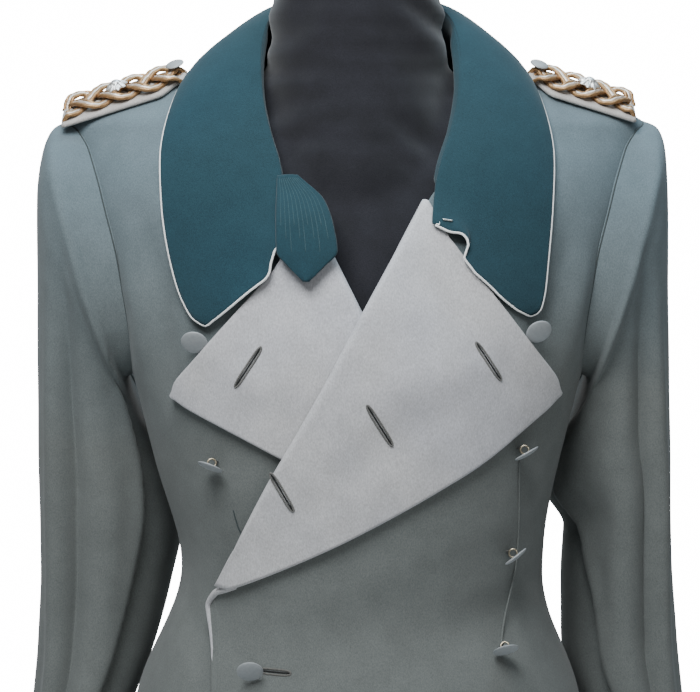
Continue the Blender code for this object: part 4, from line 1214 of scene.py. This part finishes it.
# Buttonholes in front view, each from x, z to x, z on its own side
LAPEL_HOLES = {
    "left": (
        (0.0935, 1.2425, 0.1135, 1.2120),
        (0.0075, 1.1960, 0.0270, 1.1630),
        (-0.0660, 1.1400, -0.0490, 1.1090),
    ),
    "right": ((0.0765, 1.2390, 0.0965, 1.2070), (-0.0050, 1.1750, 0.0150, 1.1450)),
}
FRONT_HOLES = (
    (-0.0790, 0.9690, -0.0535, 0.9680),
    (-0.0810, 0.8760, -0.0555, 0.8752),
    (-0.0810, 0.7840, -0.0555, 0.7833),
)
LAPEL_HOLE_HALF = 0.0019
FRONT_HOLE_HALF = 0.0021
HOLE_THREAD = 0.00085


def on_lapel(side, x, z, lift):
    face = WOOL + LAYER + (WOOL + FACING) / 2 + FACING / 2 + lapel_height(x, z, side)
    return chest_point(x, z, LIFT_OF[side](x, z) + face + lift)


def on_front(side, x, z, lift):
    return chest_point(x, z, LIFT_OF[side](x, z) + WOOL / 2 + lift)


def hole_loop(start, end, half, count=40):
    """A long narrow loop round a buttonhole in plan."""
    run = unit(end - start)
    aside = np.array([-run[1], run[0]])
    turn = np.linspace(0, 2 * math.pi, count)
    middle, reach = (start + end) / 2, np.linalg.norm(end - start) / 2
    stretch = np.sign(np.cos(turn)) * np.abs(np.cos(turn)) ** 0.45
    return middle + run * (reach * stretch)[:, None] + aside * (half * np.sin(turn))[:, None]


def worked_hole(name, ends, surface, turned, thread, half):
    """A buttonhole's thread round its slit, drawn as a painted shadow strip, on a surface that gives points
    for x, z and lift.
    """
    start, end = np.array(ends[:2]), np.array(ends[2:])
    lips = turned(surface(*hole_loop(start, end, half).T, 0.0002))
    tubes(f"{name}_thread", [lips], [HOLE_THREAD], thread, "facing_cloth")
    line = turned(surface(*np.linspace(start, end, 12).T, 0.0001))
    tubes(f"{name}_slit", [line], [half * 0.42], "slit", "facing_cloth", 6)


def buttonholes():
    for side, turned in SIDES:
        for number, ends in enumerate(LAPEL_HOLES[side], 1):
            name = f"lapel_{side}_hole_{number}"
            worked_hole(name, ends, partial(on_lapel, side), turned, "hole", LAPEL_HOLE_HALF)
    for number, ends in enumerate(FRONT_HOLES, 1):
        name = f"front_hole_{number}"
        worked_hole(name, ends, partial(on_front, "left"), np.array, "thread", FRONT_HOLE_HALF)


# Edges, seams and the throat's hook

# The seam below the left row of buttons and the dart on the right front, in front view
SEAM_LINE = (
    (0.1310, 1.1420), (0.1285, 1.1000), (0.1250, 1.0650), (0.1200, 1.0250), (0.1170, 0.9850),
    (0.1190, 0.9550), (0.1260, 0.9200),
)
DART_LINE = ((-0.1020, 1.1010), (-0.0985, 1.0880), (-0.0930, 1.0760))
# The facing's edge turning over at the break: height, how far inside the front edge, lift and radius
EDGE_CURL = np.array([
    (0.944, 0.0012, -0.0004, 0.0007), (0.965, 0.0008, -0.0002, 0.0012), (0.985, 0.0003, 0.0002, 0.0016),
    (1.005, -0.0003, 0.0006, 0.0021), (1.020, 0.0000, 0.0014, 0.0025), (1.030, 0.0016, 0.0026, 0.0028),
    (1.0345, 0.0062, 0.0034, 0.0030), (1.039, 0.0125, 0.0040, 0.0030),
])
# The stitched ridge along the left front: its upper end and how far inside the edge it runs
RIDGE_TOP_Z = 1.024
RIDGE_INSIDE = 0.0060


def sewn_line(name, plan, side, radius, sink, material_name):
    """A cord let into a front along a line in front view, so that only its crown shows."""
    line = along(np.asarray(plan), 14 * len(plan))
    tubes(name, [on_front(side, *line.T, -sink)], [radius], material_name, "wool")


def edges_and_seams():
    sewn_line("front_seam_line", SEAM_LINE, "left", 0.0008, 0.00055, "wool")
    # The dart's line is drawn in painted seam shadow
    sewn_line("dart_line", DART_LINE, "right", 0.0009, 0.00055, "wool_seam_shadow")
    low = np.linspace(RIDGE_TOP_Z, HEM_Z + 0.002, 60)
    ridge = np.column_stack([front_edge(low, "left") + RIDGE_INSIDE, low])
    sewn_line("front_edge_ridge", ridge, "left", 0.0011, 0.00065, "wool")
    tall = np.linspace(EDGE_CURL[0, 0], EDGE_CURL[-1, 0], 48)
    aside, lift, width = np.moveaxis(eased(EDGE_CURL, tall), -1, 0)
    x = front_edge(tall, "left") + break_ease(tall) + aside
    curl = chest_point(x, tall, left_front_lift(x, tall) + lift)
    tubes("front_edge_facing", [curl], [width], "facing", "facing_cloth", 12)
    hook()


# The hook's bar and loop on the fall's fine grid: station, column and, for the loop, height
HOOK_BAR = ((2, 3), (3, 6))
HOOK_LOOP = ((1, 2, 0.0012), (0, 2, 0.0020), (0, 1, 0.0012))
HOOK_LIFT = 0.0020
HOOK_WIRES = (0.0008, 0.00045)


def hook():
    """The bent wire hook at the left end of the collar and its small loop."""
    fall = fall_half("left")
    out = -normals(fall)
    out = out * np.sign(out[2, 4] @ np.array([0.2, -1.0, 0.3]))
    bar = np.linspace(*(fall[k, c] + out[k, c] * HOOK_LIFT for k, c in HOOK_BAR), 12)
    loop = along(np.array([fall[k, c] + out[k, c] * h for k, c, h in HOOK_LOOP]), 12)
    tubes("collar_hook", [bar, loop], HOOK_WIRES, "hook", "silver")


# Shoulder boards

CORD_STEPS = 170
CORD_RADIUS = 0.00172
CORDS_APART = 0.0032
# The plies' turns along a cord, in radians for each metre, and their depth as a share of the radius
CORD_TWIST = 700.0
CORD_PLY = 0.12
# Shares of a board's width: where its plait's middle line runs and where its button sits
PLAIT_AT = 0.48
KNOB_AT = 0.56
# Where a pip sits on its board, armhole to collar and front to back, its rays and its points
PIP_AT = (0.49, 0.44)
PIP_RAYS = 16
PIP_POINTS = 8
# The boards run on under the collar to this share of their length
BOARD_REACH = 1.06


def board_up(side):
    c = BOARD_CORNERS[side]
    up = np.cross(c[3] - c[0], c[2] - c[1])
    return up / np.linalg.norm(up) * np.sign(up[2])


def board_point(side, along_share, across_share, lift):
    """A point on the slightly arched board: shares run armhole to collar and front to back."""
    shares = np.broadcast_arrays(along_share, across_share, lift)
    s, a, lift = (np.asarray(v, float)[..., None] for v in shares)
    c = BOARD_CORNERS[side]
    flat = (c[0] * (1 - a) + c[1] * a) * (1 - s) + (c[2] * (1 - a) + c[3] * a) * s
    return flat + board_up(side) * (lift + BOARD_ARCH * (1 - (2 * a - 1) ** 2))


def strand_cords(side, phase):
    """The three cords that lie side by side in one strand of the plait."""
    share = np.linspace(0.015, BOARD_REACH - 0.015, CORD_STEPS)
    turn = 2 * math.pi * BRAID_PERIODS * share + phase
    swing = BRAID_SWING / np.linalg.norm(BOARD_CORNERS[side][1] - BOARD_CORNERS[side][0])
    swing = swing * (1 - 0.35 * smooth(share, 0.90, BOARD_REACH))
    ends = smooth(share, 0.0, 0.07) * (1 - smooth(share, BOARD_REACH - 0.07, BOARD_REACH))
    lift = BOARD_THICKNESS / 2 + (BRAID_WAVE + BRAID_HEIGHT / 2) * (1.6 * ends - 0.6)
    lift = lift + ends * BRAID_WAVE * np.sin(2 * turn)
    centre = board_point(side, share, PLAIT_AT + swing * np.sin(turn), lift)
    aside = unit(np.cross(board_up(side)[None], np.gradient(centre, axis=0)))
    return [centre + aside * offset for offset in (-CORDS_APART, 0.0, CORDS_APART)]


def cord_mesh(name, paths, up, sides=10):
    """Two-ply cords: round tubes with the plies' ridges winding along them."""
    points, faces, start = [], [], 0
    turn = full_turn(sides)
    for path in paths:
        ahead = unit(np.gradient(path, axis=0))
        side = unit(np.cross(ahead, up[None]))
        run = np.concatenate([[0], np.cumsum(np.linalg.norm(np.diff(path, axis=0), axis=1))])
        radius = CORD_RADIUS * (1 + CORD_PLY * np.cos(2 * turn - CORD_TWIST * run[:, None]))
        points.append(circles(path, side, np.cross(side, ahead), turn, radius))
        end = start + len(path) * sides
        faces += ring_faces(len(path), sides, start)
        faces += [tuple(range(start, start + sides)), tuple(range(end - sides, end))]
        start = end
    return mesh_of(name, np.concatenate(points), faces)


def pip_mesh(name, to_world):
    """A small domed star with rays running from its middle to its rim."""
    sides = PIP_RAYS * 6
    turn = full_turn(sides)
    ray = 0.5 + 0.5 * np.cos(PIP_RAYS * turn)
    star = 0.86 + 0.14 * np.cos(PIP_POINTS * turn)
    tall = PIP_HEIGHT * 1.35
    points = [np.array([(0, 0, 0), (0, 0, tall)])]
    shares = (1.0, 1.0, 0.86, 0.66, 0.48, 0.40, 0.30, 0.14)
    heights = (0.0, 0.12, 0.34, 0.56, 0.68, 0.80, 0.92, 0.99)
    for share, height in zip(shares, heights):
        groove = 0.13 * ray * (0.3 < share < 0.99)
        reach = PIP_RADIUS * share * (star if share > 0.45 else 1.0)
        points.append(level_ring(reach, tall * (height - groove), turn))
    last = 2 + (len(shares) - 1) * sides
    faces = ring_faces(len(shares), sides, 2) + cone_faces((0, 1), (2, last), sides)
    return mesh_of(name, moved(np.concatenate(points), to_world), faces)


def shoulder_boards():
    share, across = np.meshgrid(np.linspace(0, BOARD_REACH, 40), np.linspace(0, 1, 24), indexing="ij")
    narrowed = 0.5 + (across - 0.5) * (1 - 0.72 * smooth(share, 0.84, BOARD_REACH + 0.02))
    top = BOARD_THICKNESS / 2 + 2 * BRAID_WAVE + BRAID_HEIGHT
    for side, turned in SIDES:
        name = f"board_{side}"
        base = board_point(side, share, 0.015 + 0.90 * narrowed, 0.0)
        shell = shell_mesh(name, turned(base), BOARD_THICKNESS)
        made = place(f"{name}_underlay", shell, "board", "board_cloth", [f"{name}_base"])
        up = turned(board_up(side))
        for k in range(3):
            strand = f"{name}_strand_{k + 1}"
            cords = [turned(path) for path in strand_cords(side, 2 * math.pi * k / 3)]
            place(f"{strand}_gold", cord_mesh(name, cords[::2], up), "gold", "gold_braid", [strand])
            place(f"{strand}_silver", cord_mesh(name, cords[1:2], up), "silver", "gold_braid")
        upright = Vector(up).to_track_quat("Z", "Y").to_matrix().to_4x4()
        pip_at = Matrix.Translation(turned(board_point(side, *PIP_AT, top))) @ upright
        place(f"{name}_star", pip_mesh(name, pip_at), "pip", "silver", [f"{name}_pip"])
        button_at = turned(board_point(side, BOARD_BUTTON_AT, KNOB_AT, top + 0.0006))
        knob = button_mesh(name, BOARD_BUTTON_RADIUS, 40, Matrix.Translation(button_at) @ upright)
        place(f"{name}_knob", knob, "button", "button", [f"{name}_button"])


# Dress form

FORM_FINE_SIDES = 96
# How fine the torso and neck are grown into one skin, and how much it is smoothed
SKIN_VOXEL = 0.006
SKIN_SMOOTHING = 8
# The cover's wrinkles lie between these heights, fading over the gaps, and are this deep
WRINKLES_Z = (1.36, 1.42, 1.535, 1.555)
WRINKLE_DEPTH = 0.0019
FINE_WRINKLE_DEPTH = 0.0006
# The base's outline, turned about the pole
BASE_PROFILE = (
    (0, 0), (BASE_RADIUS - 0.006, 0), (BASE_RADIUS - 0.001, 0.003), (BASE_RADIUS, 0.008),
    (BASE_RADIUS, 0.017), (BASE_RADIUS - 0.003, 0.0215), (BASE_RADIUS - 0.010, BASE_HEIGHT),
    (0, BASE_HEIGHT),
)


def form_ring(half, front, back, square, z, centre=0.0):
    turn = full_turn(FORM_FINE_SIDES)
    sine, cosine = np.sin(turn), np.cos(turn)
    x = half * np.sign(sine) * np.abs(sine) ** (2 / square)
    y = np.where(cosine > 0, -front, back) * np.abs(cosine) ** (2 / square) + centre
    return np.column_stack([x, y, np.full(FORM_FINE_SIDES, z)])


def stacked(rings, start):
    """Points and faces of a capped stack of level rings."""
    sides = FORM_FINE_SIDES
    last = start + (len(rings) - 1) * sides
    caps = [tuple(range(start + sides - 1, start - 1, -1)), tuple(range(last, last + sides))]
    return np.concatenate(rings), ring_faces(len(rings), sides, start) + caps


def dress_form():
    """Torso and neck grown into one skin, with the stretch cover's wrinkles round the neck."""
    heights = np.linspace(FORM_TORSO[0, 0], FORM_TORSO[-1, 0], 60)
    rings = [form_ring(*row, z) for row, z in zip(eased(FORM_TORSO, heights), heights)]
    torso, torso_faces = stacked(rings, 0)
    heights = np.linspace(FORM_NECK[0, 0], FORM_NECK[-1, 0], 50)
    rows = zip(heights, eased(FORM_NECK, heights))
    rings = [form_ring(half, deep, deep, 2.0, z, centre) for z, (half, deep, centre) in rows]
    neck, neck_faces = stacked(rings, len(torso))
    rough = mesh_of("form", np.concatenate([torso, neck]), torso_faces + neck_faces)
    holder = added("form_rough", rough)
    grown = holder.modifiers.new("grown", "REMESH")
    grown.mode = "VOXEL"
    grown.voxel_size = SKIN_VOXEL
    relaxed = holder.modifiers.new("relaxed", "SMOOTH")
    relaxed.factor = 0.5
    relaxed.iterations = SKIN_SMOOTHING
    mesh = bpy.data.meshes.new_from_object(holder.evaluated_get(bpy.context.evaluated_depsgraph_get()))
    bpy.data.objects.remove(holder)
    wrinkle(mesh)
    made = place("form_cover", mesh, "form", "form_cloth", ["form_torso"])
    foot = lathe_mesh("form_base", BASE_PROFILE, 96, Matrix.Identity(4))
    place("form_foot", foot, "stand", "form_metal", ["form_base"])
    low, high = BASE_HEIGHT + SEAM, FORM_TORSO[0, 0] - SEAM
    profile = [(0, low), (POLE_RADIUS, low), (POLE_RADIUS, high), (0, high)]
    post = lathe_mesh("form_pole", profile, 40, Matrix.Identity(4))
    place("form_post", post, "stand", "form_metal", ["form_pole"])


def wrinkle(mesh):
    """Slack rings of the cover round the neck, uneven from front to side."""
    points, out = np.zeros((2, len(mesh.vertices) * 3))
    mesh.vertices.foreach_get("co", points)
    mesh.vertices.foreach_get("normal", out)
    points, out = points.reshape(-1, 3), out.reshape(-1, 3)
    x, z = points[:, 0], points[:, 2]
    at = smooth(z, *WRINKLES_Z[:2]) * (1 - smooth(z, *WRINKLES_Z[2:]))
    aside = smooth(np.abs(x), 0.008, 0.055)
    fold = np.sin(150 * z + 95 * np.abs(x) + 14 * x + 2.2 * np.sin(31 * x + 40 * z))
    fine = np.sin(330 * z - 25 * x + 2.0 * np.sin(19 * x)) * (0.6 + 0.4 * np.sin(31 * x + 60 * z))
    points = points + out * (at * (WRINKLE_DEPTH * aside * fold + FINE_WRINKLE_DEPTH * fine))[:, None]
    mesh.vertices.foreach_set("co", points.reshape(-1))
    mesh.update()


# Stage

FLOOR_RADIUS = 3.2
FLOOR_SIDES = 128
# Colour and strength of the world's light, and the strength of the white ground behind the part
WORLD_TINT = (0.93, 0.97, 1.0, 1)
WORLD_STRENGTH = 0.12
GROUND_STRENGTH = 16.0
# Name, place, size, power and colour of each lamp, and the point that all are aimed at
LIGHTS = (
    ("key", (-0.35, -1.05, 2.60), 1.1, 44.0, (0.94, 0.98, 1.0)),
    ("fill", (1.0, -2.6, 2.2), 1.8, 9.0, (1.0, 0.97, 0.93)),
    ("top", (0.3, 0.3, 3.2), 1.6, 34.0, (0.62, 0.85, 1.0)),
    ("rear", (0.0, 3.0, 2.4), 2.0, 42.0, (1.0, 1.0, 1.0)),
)
LIGHTS_AIM = (0, 0, 1.15)
CAMERA_AIM = (-0.006, 0, 1.226)
CAMERA_DISTANCE = 2.2
CAMERA_TILT_DEG = 6
LENS_MM = 131
SENSOR_MM = 36


def floor_material():
    made, tree, place = blank("studio_floor", 0.9)
    joined(tree, ramp(tree, noise(tree, place, 3.0), (0.87, 0.87, 0.86), (0.90, 0.90, 0.89)))
    return made


def pale_world():
    """Even soft light all round, in front of a white ground."""
    world = bpy.data.worlds.new("studio")
    world.use_nodes = True
    tree = world.node_tree
    light = tree.nodes["Background"]
    light.inputs["Color"].default_value = WORLD_TINT
    light.inputs["Strength"].default_value = WORLD_STRENGTH
    ground = node(tree, "ShaderNodeBackground", strength=GROUND_STRENGTH)
    ground.inputs["Color"].default_value = (1, 1, 1, 1)
    path = node(tree, "ShaderNodeLightPath")
    both = node(tree, "ShaderNodeMixShader")
    tree.links.new(path.outputs["Is Camera Ray"], both.inputs[0])
    tree.links.new(light.outputs[0], both.inputs[1])
    tree.links.new(ground.outputs[0], both.inputs[2])
    tree.links.new(both.outputs[0], tree.nodes["World Output"].inputs["Surface"])
    return world


def aimed(made, spot, aim):
    made.location = spot
    made.rotation_euler = (Vector(aim) - Vector(spot)).to_track_quat("-Z", "Y").to_euler()


def studio():
    """A pale floor, soft light all round with a broad key from the upper left, and the photo's camera."""
    mesh = bpy.data.meshes.new("floor")
    rim = level_ring(FLOOR_RADIUS, 0, full_turn(FLOOR_SIDES))
    mesh.from_pydata(rim.tolist(), [], [tuple(range(FLOOR_SIDES))])
    mesh.materials.append(floor_material())
    floor = added("floor", mesh)
    bpy.context.scene.world = pale_world()
    for name, spot, size, power, tint in LIGHTS:
        lamp = bpy.data.lights.new(name, "AREA")
        lamp.shape = "DISK"
        lamp.size = size
        lamp.energy = power
        lamp.color = tint
        made = added(name, lamp)
        aimed(made, spot, LIGHTS_AIM)
    lens = bpy.data.cameras.new("photo_camera")
    lens.lens = LENS_MM
    lens.sensor_width = SENSOR_MM
    camera = added("photo_camera", lens)
    tilt = math.radians(CAMERA_TILT_DEG)
    back = Vector((0, -math.cos(tilt), math.sin(tilt))) * CAMERA_DISTANCE
    aimed(camera, Vector(CAMERA_AIM) + back, CAMERA_AIM)
    bpy.context.scene.camera = camera


dress_form()
coat_body()
sleeves()
lapels()
collar()
buttons()
buttonholes()
edges_and_seams()
shoulder_boards()
studio()
